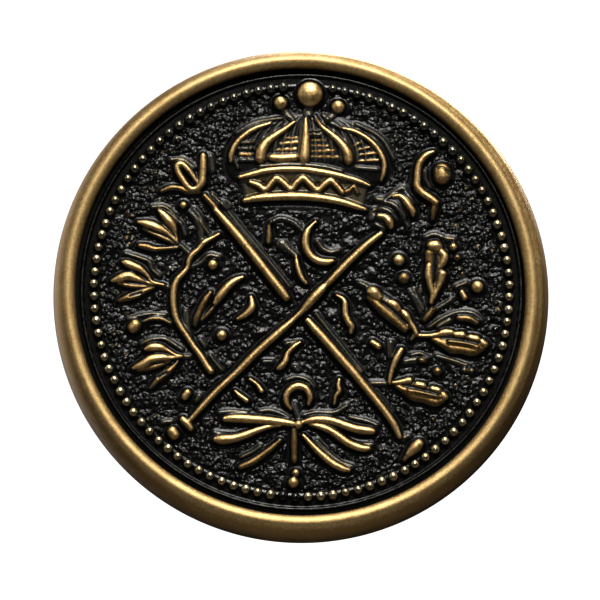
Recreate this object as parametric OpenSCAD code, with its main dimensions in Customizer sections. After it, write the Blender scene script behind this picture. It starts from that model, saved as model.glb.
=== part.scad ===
// Round cap badge: a turned rim crimped over a relief face, a card filler and a
// back plate, held to the cap by a screw post, washer and knurled thumb nut.
// Drawn face up (x right, y to the top of the badge, z to the viewer) and then
// stood upright, so the face looks toward -Y and the back plane lies on y = 0.

/* [Rim] */
// outside diameter
outside_d = 30; // [25:0.5:45]
// height of the rim's crest above the back plane
rim_height = 3.9; // [3:0.1:6]
// height of the widest line of the rim
rim_waist = 1.0; // [0.6:0.1:2]
// radius of the bead's crest
crest_r = 13.95; // [13:0.05:14.5]
// radius of the inner lip over the face
lip_r = 13.6; // [13:0.05:14]
// inner wall that holds the plates
bezel_r = 14.1; // [13.8:0.05:14.5]
// inner radius of the crimped rear lip
rear_lip_r = 12.9; // [12:0.1:13.5]
// thickness of the crimped rear lip
rear_lip_t = 0.4; // [0.3:0.05:0.8]

/* [Plates] */
// clearance round the plates
plate_gap = 0.05; // [0.02:0.01:0.1]
// thickness of the back plate
back_t = 0.6; // [0.4:0.1:1]
// thickness of the card filler
filler_t = 1.6; // [1:0.1:2.5]
// thickness of the face plate
face_t = 0.6; // [0.4:0.1:1]

/* [Pearl border] */
// number of places round the ring
pearl_places = 104; // [80:1:120]
// radius of the ring of pearls
pearl_ring_r = 12.5; // [12:0.05:13]
// radius of one pearl
pearl_r = 0.245; // [0.15:0.005:0.3]
// depth of the groove that takes the border
groove_depth = 0.15; // [0.1:0.01:0.25]
// half width of the border strip
strip_half = 0.33; // [0.28:0.01:0.4]

/* [Relief] */
// height of the lower step of the charges
low_h = 0.3; // [0.15:0.05:0.5]
// full height of the charges
high_h = 0.5; // [0.3:0.05:0.7]
// full height of the staff that passes over
over_h = 0.62; // [0.4:0.02:0.7]
// how far the lower step reaches past the upper one
foot = 0.11; // [0.05:0.01:0.2]

/* [Screw post] */
// major radius of the thread
post_r = 1.48; // [1.2:0.01:2]
// radius of the plain shank
shank_r = 1.7; // [1.6:0.01:2]
// radius of the tenon riveted through the back plate
tenon_r = 1.2; // [0.9:0.05:1.5]
// depth of the undercut at the root of the post and pins
undercut = 0.15; // [0.1:0.01:0.2]
// length of the post behind the back plane
post_len = 6.0; // [5:0.1:12]
// plain shank between the back plane and the thread
shank_len = 1.6; // [1:0.1:3]
// thread pitch
pitch = 0.5; // [0.35:0.05:0.8]
// depth of the thread grooves
thread_depth = 0.2; // [0.1:0.01:0.3]
// radius of the post's flange
flange_r = 3.4; // [2.5:0.1:5]
// radius of the riveted head inside
rivet_head_r = 2.2; // [1.8:0.1:3]
// thickness of the riveted head
rivet_head_t = 0.45; // [0.3:0.05:0.8]

/* [Locating pins] */
// distance between the two pins
pin_spacing = 18; // [14:0.5:20]
// radius of a pin
pin_r = 0.6; // [0.55:0.05:0.8]
// radius of a pin's tenon
pin_tenon_r = 0.42; // [0.3:0.01:0.5]
// length of a pin behind the back plane
pin_len = 2.6; // [1.5:0.1:4]
// radius of a pin's inner head
pin_head_r = 1.0; // [0.8:0.05:1.4]

/* [Washer and thumb nut] */
// gap left for the cap's cloth at rest
cloth_gap = 2.0; // [1:0.1:3]
// radius of the washer
washer_r = 6; // [4:0.25:8]
// thickness of the washer
washer_t = 0.5; // [0.3:0.1:1]
// radial clearance of washer and nut on the post
bore_gap = 0.06; // [0.03:0.01:0.1]
// radius of the nut's knurled head
nut_r = 5; // [3.5:0.25:6]
// height of the knurled head
nut_head_t = 1.9; // [1.2:0.1:3]
// radius of the nut's boss
boss_r = 3.1; // [2.4:0.1:4]
// height of the nut's boss
boss_t = 0.7; // [0.4:0.1:1.5]
// number of knurl grooves
knurls = 36; // [20:1:48]

/* [Hidden] */
$fn = 48;
eps = 0.01;
plate_r = bezel_r - plate_gap;
back_z = rear_lip_t;
filler_z = back_z + back_t;
face_z = filler_z + filler_t;
field_z = face_z + face_t;
washer_z = -cloth_gap - washer_t;
nut_z = washer_z - boss_t - nut_head_t;
groove_in = pearl_ring_r - strip_half - 0.02;
groove_out = pearl_ring_r + strip_half + 0.02;
brass = [0.72, 0.56, 0.27];
dark = [0.20, 0.18, 0.14];
bright = [0.80, 0.64, 0.33];

// Charges: each stroke is a list of [x, y, width] along its middle.
crown_high = [
    [[0.30, 10.55, 0.20], [0.32, 9.7, 0.38], [0.26, 8.8, 0.5], [0.18, 7.9, 0.6], [0.16, 7.5, 0.5]],
    [[0.10, 10.6, 0.2], [-0.5, 10.2, 0.3], [-1.4, 9.5, 0.45], [-2.2, 8.95, 0.6], [-2.53, 8.4, 0.72],
        [-2.5, 7.6, 0.7]],
    [[0.55, 10.6, 0.2], [1.03, 10.16, 0.3], [1.6, 9.6, 0.4], [2.27, 9.03, 0.55], [2.75, 8.44, 0.65],
        [2.8, 7.6, 0.6]],
    [[-0.7, 10.35, 0.25], [-2.0, 10.12, 0.3], [-2.8, 9.85, 0.32], [-3.5, 9.5, 0.34], [-4.0, 9.0, 0.34],
        [-4.27, 8.4, 0.32], [-4.28, 7.9, 0.32], [-3.95, 7.25, 0.32]],
    [[1.3, 10.3, 0.25], [2.5, 9.98, 0.3], [3.2, 9.75, 0.3], [3.85, 9.4, 0.32], [4.45, 8.93, 0.32],
        [4.85, 8.37, 0.32], [5.0, 7.8, 0.3], [4.85, 7.1, 0.3], [4.3, 6.4, 0.3]],
    [[-3.85, 6.83, 0.3], [-3.0, 7.08, 0.4], [-2.0, 7.33, 0.45], [-0.8, 7.45, 0.45], [0.4, 7.42, 0.45],
        [1.8, 7.2, 0.42], [2.9, 6.86, 0.4], [4.15, 6.38, 0.3]],
    [[-3.6, 5.52, 0.42], [-2.4, 5.62, 0.52], [-1.1, 5.7, 0.55], [0.7, 5.68, 0.55], [2.2, 5.5, 0.5],
        [2.9, 5.3, 0.46], [3.5, 5.1, 0.3]],
    [[-3.2, 6.68, 0.26], [-2.16, 6.13, 0.34]], [[-2.16, 6.13, 0.34], [-1.47, 6.9, 0.3]],
    [[-1.47, 6.9, 0.3], [-0.62, 6.2, 0.34]], [[-0.62, 6.2, 0.34], [0.11, 6.9, 0.3]],
    [[0.11, 6.9, 0.3], [0.99, 6.12, 0.34]], [[0.99, 6.12, 0.34], [1.72, 6.7, 0.3]],
    [[1.72, 6.7, 0.3], [2.5, 5.97, 0.32]], [[2.5, 5.97, 0.3], [3.15, 6.33, 0.28]],
    [[3.15, 6.33, 0.28], [3.55, 5.7, 0.24]]];
crown_low = [
    [[-2.3, 9.3, 0.3], [0.2, 9.3, 0.3]], [[-2.4, 9.0, 0.2], [0.2, 9.0, 0.2]],
    [[-2.4, 8.62, 0.24], [0.2, 8.62, 0.24]], [[-2.4, 8.1, 0.45], [0.1, 8.12, 0.45]],
    [[0.3, 9.55, 0.2], [1.9, 9.5, 0.2]], [[0.3, 9.22, 0.2], [2.3, 9.18, 0.2]],
    [[0.3, 8.87, 0.24], [2.6, 8.82, 0.24]], [[0.3, 8.5, 0.22], [2.7, 8.5, 0.22]],
    [[0.2, 8.12, 0.34], [2.7, 8.08, 0.34]],
    [[-4.1, 8.7, 0.26], [-2.6, 8.9, 0.26]], [[-4.1, 8.25, 0.3], [-2.5, 8.3, 0.3]],
    [[-4.0, 7.75, 0.3], [-2.5, 7.8, 0.3]],
    [[2.7, 9.25, 0.24], [4.1, 8.95, 0.24]], [[2.8, 8.72, 0.24], [4.5, 8.6, 0.24]],
    [[2.8, 8.35, 0.26], [4.7, 8.25, 0.26]], [[2.8, 7.9, 0.24], [4.8, 7.85, 0.24]],
    [[2.8, 7.5, 0.26], [4.8, 7.4, 0.26]],
    [[0.4, 11.35, 0.5], [0.32, 10.6, 0.4]], [[-1.15, 11.1, 0.3], [-0.8, 10.4, 0.25]],
    [[2.0, 10.95, 0.3], [1.6, 10.25, 0.25]]];
crown_balls = [[0.5, 12.05, 0.8, 0.52], [-1.28, 11.5, 0.43, 0.45], [2.2, 11.3, 0.43, 0.45],
    [-3.5, 9.25, 0.12, 0.3], [4.1, 9.3, 0.12, 0.3]];

left_high = [
    [[-5.25, 5.1, 0.5], [-4.1, 3.7, 0.55], [-3.0, 2.3, 0.55], [-2.0, 0.9, 0.56], [-0.95, -0.45, 0.56]],
    [[0.6, -2.0, 0.5], [1.6, -3.14, 0.55], [2.5, -4.2, 0.55], [3.2, -5.1, 0.53], [3.7, -5.74, 0.5],
        [4.4, -6.6, 0.48], [5.0, -7.36, 0.45], [5.5, -8.2, 0.42], [5.96, -9.2, 0.36]],
    [[6.2, -10.15, 0.3], [6.62, -9.65, 0.46], [7.02, -9.3, 0.3]],
    [[-6.3, 6.0, 0.25], [-6.0, 6.6, 0.38], [-5.94, 7.4, 0.44], [-5.96, 8.3, 0.28]],
    [[-6.35, 6.15, 0.2], [-6.95, 6.45, 0.3], [-7.45, 7.0, 0.34], [-7.65, 7.6, 0.26], [-7.3, 7.75, 0.24],
        [-6.75, 7.2, 0.28], [-6.35, 6.55, 0.24]],
    [[-8.55, 6.05, 0.22], [-7.9, 6.24, 0.32], [-7.2, 6.2, 0.34], [-6.67, 5.98, 0.34], [-6.0, 6.22, 0.3]]];
left_low = [
    [[-5.87, 5.9, 0.5], [-5.2, 5.05, 0.5]], [[-6.1, 6.1, 0.6], [-5.6, 5.5, 0.5]],
    [[-5.3, 6.9, 0.26], [-5.15, 6.3, 0.32], [-5.5, 5.8, 0.3]],
    [[5.9, -9.1, 0.3], [6.5, -9.6, 0.3]], [[6.05, -8.95, 0.3], [6.28, -8.72, 0.3]]];
left_balls = [];

right_high = [
    [[4.83, 3.63, 0.42], [3.94, 2.86, 0.45], [2.5, 1.42, 0.5], [1.96, 0.74, 0.52], [1.3, 0.16, 0.58],
        [0.7, -0.44, 0.62], [0, -1.28, 0.62], [-0.68, -1.94, 0.56], [-1.64, -2.78, 0.5],
        [-2.6, -3.66, 0.48], [-4.0, -5.1, 0.45], [-5.1, -6.14, 0.42], [-6.0, -7.2, 0.4], [-6.7, -8.0, 0.36]],
    [[-7.15, -7.72, 0.38], [-6.6, -8.5, 0.38]],
    [[6.1, 5.85, 0.3], [6.53, 5.22, 0.42], [6.82, 4.62, 0.3]],
    [[4.3, 4.55, 0.22], [4.62, 5.4, 0.26], [5.3, 6.0, 0.28], [6.08, 6.35, 0.24]],
    [[7.95, 8.56, 0.3], [7.44, 8.28, 0.42], [7.04, 7.77, 0.44], [6.96, 7.03, 0.44], [6.96, 6.4, 0.42],
        [7.27, 5.96, 0.42], [7.78, 5.67, 0.44], [8.1, 5.38, 0.42], [8.0, 4.88, 0.38], [7.88, 4.3, 0.3]]];
right_low = [
    [[5.0, 5.5, 0.3], [5.63, 5.1, 0.3], [6.2, 4.5, 0.3], [6.5, 3.95, 0.26]],
    [[4.7, 4.9, 0.7], [5.6, 4.0, 0.6]], [[5.3, 5.6, 0.7], [6.3, 4.6, 0.7]],
    [[4.9, 4.6, 0.6], [6.2, 5.6, 0.9]], [[6.2, 5.9, 0.4], [6.95, 6.3, 0.3]],
    [[-6.5, -8.0, 0.3], [-7.6, -8.7, 0.3]]];
right_balls = [[5.2, 4.3, 0.28, 0.5], [8.54, 7.12, 0.6, 0.5], [-7.7, -8.74, 0.3, 0.45]];

ls_high = [
    [[-5.0, 3.5, 0.26], [-6.04, 2.84, 0.36], [-6.7, 2.14, 0.4], [-6.9, 1.55, 0.4], [-7.3, 0.95, 0.4],
        [-7.68, 0.3, 0.4], [-7.72, -0.6, 0.38], [-7.62, -1.4, 0.36], [-7.4, -2.1, 0.36],
        [-6.8, -2.85, 0.36], [-6.45, -3.45, 0.38], [-5.85, -4.35, 0.38], [-5.4, -5.05, 0.42]],
    [[-7.45, 3.2, 0.26], [-8.0, 4.0, 0.5], [-8.5, 4.85, 0.14]],
    [[-7.45, 2.85, 0.26], [-8.3, 3.55, 0.58], [-9.0, 3.85, 0.5], [-9.7, 4.1, 0.14]],
    [[-7.4, 2.65, 0.26], [-9.1, 2.42, 0.5], [-9.85, 2.8, 0.16]],
    [[-8.75, 0.45, 0.26], [-9.6, 1.2, 0.45], [-10.7, 1.7, 0.16]],
    [[-8.9, 0.38, 0.26], [-9.9, 0.78, 0.75], [-10.6, 0.78, 0.6], [-11.4, 0.58, 0.14]],
    [[-8.8, 0.18, 0.26], [-9.64, -0.12, 0.52], [-10.4, -0.3, 0.45], [-11.0, -0.64, 0.14]],
    [[-7.7, -3.9, 0.26], [-8.2, -3.62, 0.42], [-8.8, -3.42, 0.4], [-9.45, -3.5, 0.16]],
    [[-7.75, -4.05, 0.26], [-8.4, -4.1, 0.65], [-9.2, -4.3, 0.7], [-10.15, -4.8, 0.16]],
    [[-7.6, -4.2, 0.26], [-8.1, -4.9, 0.5], [-8.6, -5.5, 0.5], [-9.15, -6.05, 0.14]],
    [[-3.4, 0.8, 0.2], [-4.1, 0.6, 0.42], [-4.6, 0.1, 0.5], [-5.0, -0.56, 0.42], [-5.3, -0.98, 0.26]],
    [[-5.56, -0.1, 0.2], [-5.9, -0.7, 0.28], [-6.22, -1.4, 0.28], [-6.5, -2.15, 0.2]],
    [[-3.1, -0.25, 0.22], [-3.0, -0.8, 0.38], [-3.0, -1.2, 0.45], [-3.4, -1.52, 0.42], [-3.85, -1.72, 0.22]]];
ls_low = [
    [[-6.75, 2.3, 0.3], [-7.6, 2.8, 0.36]], [[-7.6, 0.25, 0.3], [-8.95, 0.36, 0.36]],
    [[-6.6, -3.85, 0.3], [-7.8, -4.05, 0.36]],
    [[-6.05, 2.9, 0.28], [-6.15, 3.6, 0.3], [-6.43, 4.4, 0.3], [-6.72, 4.8, 0.26]],
    [[-6.64, 1.3, 0.2], [-6.04, 1.66, 0.22], [-5.6, 2.14, 0.22], [-4.9, 2.0, 0.2]],
    [[-9.7, -2.05, 0.2], [-8.8, -1.7, 0.22], [-8.0, -1.94, 0.22], [-7.5, -2.1, 0.2]],
    [[-5.2, -0.9, 0.3], [-5.8, -1.5, 0.36], [-6.3, -2.1, 0.3], [-6.9, -2.7, 0.26]],
    [[-6.94, -1.28, 0.2], [-6.94, -1.88, 0.24], [-6.75, -2.6, 0.22]],
    [[-6.1, -6.3, 0.36], [-6.4, -6.7, 0.3]]];
ls_balls = [[-7.12, 5.16, 0.27, 0.4], [-5.35, 1.54, 0.34, 0.45], [-10.0, -2.3, 0.38, 0.45],
    [-4.8, -2.8, 0.36, 0.45], [-6.9, -6.34, 0.3, 0.4]];

rs_high = [
    [[5.15, -5.75, 0.4], [5.3, -5.0, 0.36], [5.6, -4.3, 0.34], [6.0, -3.7, 0.34], [6.6, -2.95, 0.38],
        [7.05, -2.5, 0.36], [7.5, -1.65, 0.34], [7.82, -1.2, 0.32], [7.9, -0.6, 0.34]],
    [[6.9, -2.55, 0.3], [6.4, -1.85, 0.62], [5.65, -1.15, 0.95], [4.75, -0.5, 0.85], [3.95, 0.2, 0.34]],
    [[7.1, -2.65, 0.3], [8.0, -2.75, 0.5], [8.85, -2.95, 0.95], [9.7, -3.15, 1.1], [10.5, -3.3, 0.9],
        [11.1, -3.4, 0.35]],
    [[7.95, -0.6, 0.3], [8.0, 0.1, 0.75], [8.08, 0.9, 1.1], [8.1, 1.7, 1.05], [8.1, 2.5, 0.8],
        [8.1, 3.05, 0.35]],
    [[5.3, -5.75, 0.3], [6.2, -5.95, 0.7], [7.1, -6.2, 1.1], [7.9, -6.4, 0.95], [8.75, -6.6, 0.4]],
    [[8.5, -1.5, 0.22], [9.67, -1.6, 0.4], [10.33, -1.88, 0.4], [11.0, -1.95, 0.2]]];
rs_crease = [
    [[4.5, -0.42, 0.12], [5.6, -1.3, 0.14], [6.6, -2.1, 0.12]],
    [[8.3, -2.95, 0.12], [9.5, -3.12, 0.14], [10.75, -3.3, 0.1]],
    [[8.1, 2.05, 0.14], [8.05, 1.2, 0.16], [7.98, 0.3, 0.12]],
    [[6.0, -6.1, 0.12], [7.1, -6.33, 0.14], [8.25, -6.5, 0.12]]];
rs_low = [
    [[5.1, -5.7, 0.34], [4.45, -5.63, 0.26]], [[3.95, 0.2, 0.3], [3.55, 0.45, 0.2]],
    [[8.6, -1.93, 0.24], [8.07, -2.13, 0.22], [7.7, -2.5, 0.2]],
    [[6.6, 0.1, 0.2], [6.85, -0.6, 0.24], [7.15, -1.35, 0.2]], [[9.1, -0.4, 0.2], [8.0, -1.2, 0.22]],
    [[9.1, 2.6, 0.16], [9.3, 2.0, 0.16]], [[5.33, -3.3, 0.3], [5.4, -3.9, 0.24]],
    [[6.6, -4.1, 0.24], [7.0, -4.1, 0.3], [7.6, -4.3, 0.3]],
    [[8.0, -3.7, 0.2], [8.5, -4.4, 0.26], [10.0, -4.7, 0.2]],
    [[6.2, 0.6, 0.3], [6.6, 0.1, 0.26]]];
rs_balls = [[5.83, 1.83, 0.36, 0.45], [6.27, 0.73, 0.32, 0.38], [10.57, 0.33, 0.38, 0.45],
    [9.6, -0.15, 0.3, 0.38], [4.47, -3.27, 0.34, 0.42], [5.33, -3.27, 0.24, 0.36],
    [8.13, -4.73, 0.28, 0.38], [10.07, -4.73, 0.26, 0.36], [9.13, 2.73, 0.28, 0.4],
    [9.33, 2.0, 0.2, 0.36], [11.0, -3.3, 0.26, 0.42]];

scroll_high = [
    [[0.85, 4.3, 0.22], [0.3, 3.9, 0.42], [0.08, 3.4, 0.5], [0.12, 2.9, 0.5], [0.34, 2.4, 0.5],
        [0.75, 1.98, 0.5], [1.25, 1.75, 0.46], [1.65, 1.76, 0.34], [1.95, 1.86, 0.2]],
    [[-0.26, 2.05, 0.2], [-0.28, 1.48, 0.36], [-0.14, 1.0, 0.36], [0.06, 0.68, 0.3], [0.26, 0.44, 0.16]],
    [[2.1, -0.25, 0.22], [2.5, -0.6, 0.4], [2.6, -1.16, 0.42], [2.72, -1.76, 0.4], [2.98, -2.2, 0.34],
        [2.88, -2.6, 0.2]],
    [[0.05, -3.05, 0.22], [-0.6, -3.6, 0.36], [-0.92, -4.04, 0.36], [-1.06, -4.5, 0.34], [-1.5, -4.8, 0.22]]];
scroll_low = [
    [[-2.05, 2.9, 0.22], [-2.0, 3.5, 0.3], [-1.75, 4.1, 0.32], [-1.2, 4.36, 0.32], [-0.6, 4.1, 0.32],
        [0.05, 3.5, 0.3]],
    [[-0.75, -3.3, 0.2], [-0.95, -3.1, 0.24]], [[-2.2, -4.2, 0.26], [-2.45, -4.45, 0.22]]];
scroll_balls = [[-0.3, -4.8, 0.16, 0.32]];

bow_high = [
    [[0.35, -7.0, 0.3], [0.5, -6.5, 0.42], [0.25, -5.98, 0.46], [-0.35, -5.8, 0.46], [-0.85, -6.15, 0.46],
        [-0.98, -6.7, 0.44], [-0.7, -7.15, 0.36]],
    [[-4.6, -7.75, 0.22], [-3.6, -7.85, 0.42], [-2.5, -7.88, 0.45], [-1.5, -7.98, 0.42], [-0.3, -8.2, 0.32]],
    [[-5.3, -9.1, 0.2], [-4.7, -9.15, 0.38], [-3.9, -9.05, 0.42], [-3.0, -8.7, 0.4], [-2.1, -8.32, 0.34],
        [-1.3, -8.3, 0.24]],
    [[-3.75, -10.75, 0.16], [-3.0, -10.35, 0.28], [-2.4, -10.05, 0.28], [-1.8, -9.6, 0.28],
        [-1.2, -9.1, 0.24], [-0.6, -8.5, 0.2]],
    [[-0.3, -8.2, 0.3], [1.0, -7.84, 0.44], [2.0, -7.9, 0.44], [2.6, -8.14, 0.42], [3.2, -8.42, 0.4],
        [4.15, -8.58, 0.2]],
    [[0.6, -8.2, 0.24], [1.7, -8.6, 0.38], [2.36, -9.1, 0.38], [2.96, -9.5, 0.36], [3.85, -9.7, 0.2]],
    [[-0.1, -8.6, 0.24], [0.68, -9.46, 0.36], [1.4, -10.2, 0.38], [2.0, -10.66, 0.36], [2.8, -10.95, 0.2]],
    [[-0.3, -8.3, 0.4], [-0.42, -9.3, 0.3], [-0.42, -10.5, 0.28], [-0.42, -10.9, 0.24]],
    [[-4.02, -6.06, 0.2], [-3.6, -6.4, 0.4], [-3.05, -6.85, 0.2]],
    [[-3.15, -5.35, 0.18], [-2.75, -5.8, 0.3], [-2.35, -6.25, 0.18]],
    [[2.35, -5.35, 0.2], [2.15, -5.74, 0.3], [2.28, -6.05, 0.3], [2.02, -6.5, 0.3], [1.88, -6.85, 0.2]]];
bow_low = [
    [[-0.42, -6.9, 0.3], [-0.34, -7.5, 0.36], [-0.15, -8.2, 0.4]]];
bow_balls = [[-0.15, -8.2, 0.36, 0.5], [-0.4, -11.0, 0.26, 0.4], [-0.5, -11.6, 0.34, 0.44]];

// One Catmull-Rom half-way point between every two points of a stroke.
function mid_point(s, i) =
    let (a = s[max(i - 1, 0)])
    let (d = s[min(i + 2, len(s) - 1)])
    (9 * (s[i] + s[i + 1]) - a - d) / 16;
function smooth(s) = len(s) < 3 ? s : [
    for (i = [0 : len(s) - 2]) each [s[i], mid_point(s, i)],
    s[len(s) - 1]];
function unit(v) = v / max(norm(v), 0.0001);
function heading(s, i) =
    let (a = s[max(i - 1, 0)])
    let (b = s[min(i + 1, len(s) - 1)])
    unit([b[0] - a[0], b[1] - a[1]]);
// Outline of a stroke: one side out, a blunt tip, the other side back, a blunt tip.
function side(s, k, grow) = [
    for (i = [0 : len(s) - 1])
        let (h = heading(s, i))
        let (w = max(s[i][2] / 2 + grow, 0.03))
        [s[i][0] - k * h[1] * w, s[i][1] + k * h[0] * w]];
function tip(s, i, k, grow) =
    let (h = heading(s, i))
    let (w = max(s[i][2] / 2 + grow, 0.03))
    [s[i][0] + k * h[0] * w, s[i][1] + k * h[1] * w];
function reversed(v) = [for (i = [len(v) - 1 : -1 : 0]) v[i]];
function outline(s, grow) = concat(
    side(s, 1, grow), [tip(s, len(s) - 1, 1, grow)],
    reversed(side(s, -1, grow)), [tip(s, 0, -1, grow)]);

module strokes(list, grow) {
    for (s = list) {
        polygon(outline(smooth(s), grow));
    }
}

// A dome that stands on the field: centre, radius and height above the field.
module dome(b) {
    ball_r = (b[2] * b[2] + b[3] * b[3]) / (2 * b[3]);
    translate([b[0], b[1], field_z])
    intersection() {
        translate([0, 0, b[3] - ball_r]) sphere(r = ball_r);
        translate([0, 0, 0.6]) cube([2, 2, 1.2], center = true);
    }
}

// A charge: a wide lower step, a narrower upper step and domes.
module charge(high, low, creases, balls, top_h) {
    translate([0, 0, field_z])
    linear_extrude(height = low_h)
    offset(delta = 0.001) {
        strokes(high, foot);
        strokes(low, foot / 2);
    }
    translate([0, 0, field_z + low_h / 2])
    linear_extrude(height = top_h - low_h / 2)
    offset(delta = 0.001)
    difference() {
        strokes(high, 0);
        strokes(creases, 0);
    }
    for (b = balls) {
        dome(b);
    }
}

module upright() {
    rotate([90, 0, 0]) children();
}

function arc(cx, cy, rx, ry, a0, a1, n) = [
    for (i = [0 : n])
        let (a = a0 + (a1 - a0) * i / n)
        [cx + rx * cos(a), cy + ry * sin(a)]];

module rim_ring() {
    color(brass) upright()
    rotate_extrude($fn = 120)
    polygon(concat(
        [[rear_lip_r, 0]],
        arc(outside_d / 2 - 0.8, rim_waist, 0.8, rim_waist, -90, 0, 6),
        arc(crest_r, rim_waist, outside_d / 2 - crest_r, rim_height - rim_waist, 6, 90, 14),
        arc(crest_r, rim_height - 0.35, crest_r - lip_r, 0.35, 96, 180, 6),
        [[lip_r, field_z], [bezel_r, field_z], [bezel_r, rear_lip_t], [rear_lip_r, rear_lip_t]]));
}

module face_plate() {
    color(dark) upright()
    difference() {
        union() {
            translate([0, 0, face_z]) cylinder(r = plate_r, h = face_t);
            translate([0, 0, face_z + face_t / 2])
            rotate_extrude()
            polygon([[13.12, 0], [13.36, 0], [13.32, face_t / 2 + 0.14], [13.16, face_t / 2 + 0.14]]);
        }
        translate([0, 0, field_z - groove_depth])
        rotate_extrude()
        translate([groove_in, 0]) square([groove_out - groove_in, groove_depth + eps]);
    }
}

function clear_of_ball(a) =
    norm([pearl_ring_r * cos(a) - crown_balls[0][0], pearl_ring_r * sin(a) - crown_balls[0][1]])
        > crown_balls[0][2] + pearl_r + 0.05;

module pearl_border() {
    strip_in = pearl_ring_r - strip_half;
    color(brass) upright()
    difference() {
        union() {
            translate([0, 0, field_z - groove_depth])
            rotate_extrude()
            translate([strip_in, 0]) square([2 * strip_half, groove_depth]);
            for (i = [0 : pearl_places - 1]) {
                a = 90 + (i + 0.5) * 360 / pearl_places;
                if (clear_of_ball(a)) {
                    rotate([0, 0, a])
                    translate([pearl_ring_r, 0, field_z - groove_depth + pearl_r + 0.01])
                    sphere(r = pearl_r);
                }
            }
        }
        translate([crown_balls[0][0], crown_balls[0][1], field_z - groove_depth - eps])
        cylinder(r = crown_balls[0][2] + 0.05, h = groove_depth + 0.1);
    }
}

module crown() {
    color(bright) upright() charge(crown_high, crown_low, [], crown_balls, high_h);
}

module left_staff() {
    color(bright) upright() charge(left_high, left_low, [], left_balls, high_h);
}

module right_staff() {
    color(bright) upright() charge(right_high, right_low, [], right_balls, over_h);
}

module left_sprig() {
    color(bright) upright() charge(ls_high, ls_low, [], ls_balls, high_h);
}

module right_sprig() {
    color(bright) upright() charge(rs_high, rs_low, rs_crease, rs_balls, high_h);
}

module ribbon_scroll() {
    color(bright) upright() charge(scroll_high, scroll_low, [], scroll_balls, high_h);
}

module ribbon_bow() {
    color(bright) upright() charge(bow_high, bow_low, [], bow_balls, high_h);
}

module filler_disc() {
    color([0.55, 0.47, 0.36]) upright()
    difference() {
        translate([0, 0, filler_z]) cylinder(r = plate_r, h = filler_t);
        translate([0, 0, filler_z - eps]) cylinder(r = rivet_head_r + 0.1, h = rivet_head_t + 0.1);
        for (x = [-1, 1]) {
            translate([x * pin_spacing / 2, 0, filler_z - eps])
            cylinder(r = pin_head_r + 0.1, h = rivet_head_t + 0.1);
        }
    }
}

module back_plate() {
    color(brass) upright()
    difference() {
        translate([0, 0, back_z]) cylinder(r = plate_r, h = back_t);
        translate([0, 0, back_z - eps]) cylinder(r = tenon_r, h = back_t + 2 * eps);
        for (x = [-1, 1]) {
            translate([x * pin_spacing / 2, 0, back_z - eps])
            cylinder(r = pin_tenon_r, h = back_t + 2 * eps);
        }
    }
}

// The post is turned in one profile: head, shank, flange and grooved end.
module threaded_post() {
    turns = floor((post_len - shank_len - 0.45) / pitch);
    root = post_r - thread_depth;
    color(brass) upright()
    rotate_extrude()
    polygon(concat(
        [[0, filler_z + rivet_head_t], [rivet_head_r - 0.4, filler_z + rivet_head_t],
            [rivet_head_r, filler_z + 0.1], [rivet_head_r, filler_z], [tenon_r, filler_z],
            [tenon_r, back_z], [flange_r, back_z], [flange_r, undercut + 0.08],
            [flange_r - 0.1, undercut], [post_r, undercut], [post_r, 0],
            [shank_r, 0], [shank_r, -shank_len]],
        [for (i = [0 : turns - 1]) each [
            [post_r, -shank_len - i * pitch],
            [root, -shank_len - (i + 0.38) * pitch],
            [root, -shank_len - (i + 0.5) * pitch],
            [post_r, -shank_len - (i + 0.88) * pitch]]],
        [[post_r, -post_len + 0.3], [post_r - 0.3, -post_len], [0, -post_len]]));
}

module locating_pin(side_sign) {
    color(brass) upright()
    translate([side_sign * pin_spacing / 2, 0, 0])
    rotate_extrude()
    polygon([[0, filler_z + rivet_head_t], [pin_head_r - 0.25, filler_z + rivet_head_t],
        [pin_head_r, filler_z + 0.1], [pin_head_r, filler_z], [pin_tenon_r, filler_z],
        [pin_tenon_r, back_z], [pin_head_r, back_z], [pin_head_r, undercut + 0.08],
        [pin_head_r - 0.08, undercut], [pin_tenon_r, undercut], [pin_tenon_r, 0], [pin_r, 0],
        [pin_r, -pin_len + 0.25], [pin_r - 0.25, -pin_len], [0, -pin_len]]);
}

module locating_pin_left() {
    locating_pin(-1);
}

module locating_pin_right() {
    locating_pin(1);
}

module clamp_washer() {
    bore_r = shank_r + bore_gap;
    color(brass) upright()
    rotate_extrude()
    polygon([[bore_r, washer_z], [washer_r - 0.12, washer_z], [washer_r, washer_z + 0.12],
        [washer_r, washer_z + washer_t - 0.12], [washer_r - 0.12, washer_z + washer_t],
        [bore_r, washer_z + washer_t]]);
}

module thumb_nut() {
    bore_r = post_r + bore_gap;
    head_top = nut_z + nut_head_t;
    nut_top = head_top + boss_t;
    color(brass) upright()
    difference() {
        rotate_extrude()
        polygon([[bore_r + 0.25, nut_z], [nut_r - 0.9, nut_z], [nut_r - 0.7, nut_z + 0.15],
            [nut_r - 0.25, nut_z + 0.15], [nut_r, nut_z + 0.4], [nut_r, head_top - 0.25],
            [nut_r - 0.25, head_top], [boss_r, head_top], [boss_r, nut_top], [bore_r + 0.2, nut_top],
            [bore_r, nut_top - 0.2], [bore_r, nut_z + 0.25]]);
        for (i = [0 : knurls - 1]) {
            rotate([0, 0, i * 360 / knurls])
            translate([nut_r + 0.1, 0, nut_z - eps])
            cylinder(r = 0.28, h = nut_head_t + 2 * eps, $fn = 24);
        }
    }
}

rim_ring();
face_plate();
pearl_border();
crown();
left_staff();
right_staff();
left_sprig();
right_sprig();
ribbon_scroll();
ribbon_bow();
filler_disc();
back_plate();
threaded_post();
locating_pin_left();
locating_pin_right();
clamp_washer();
thumb_nut();
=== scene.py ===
"""Looks of a round antique-brass cap badge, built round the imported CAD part.

Shapes are drawn face up in millimetres, x to the right, y up and z to the viewer, and world() turns them
into the frame. The charges and the ground are height fields, and the rim, ledge and pearls are turned.
"""

import math

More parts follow.
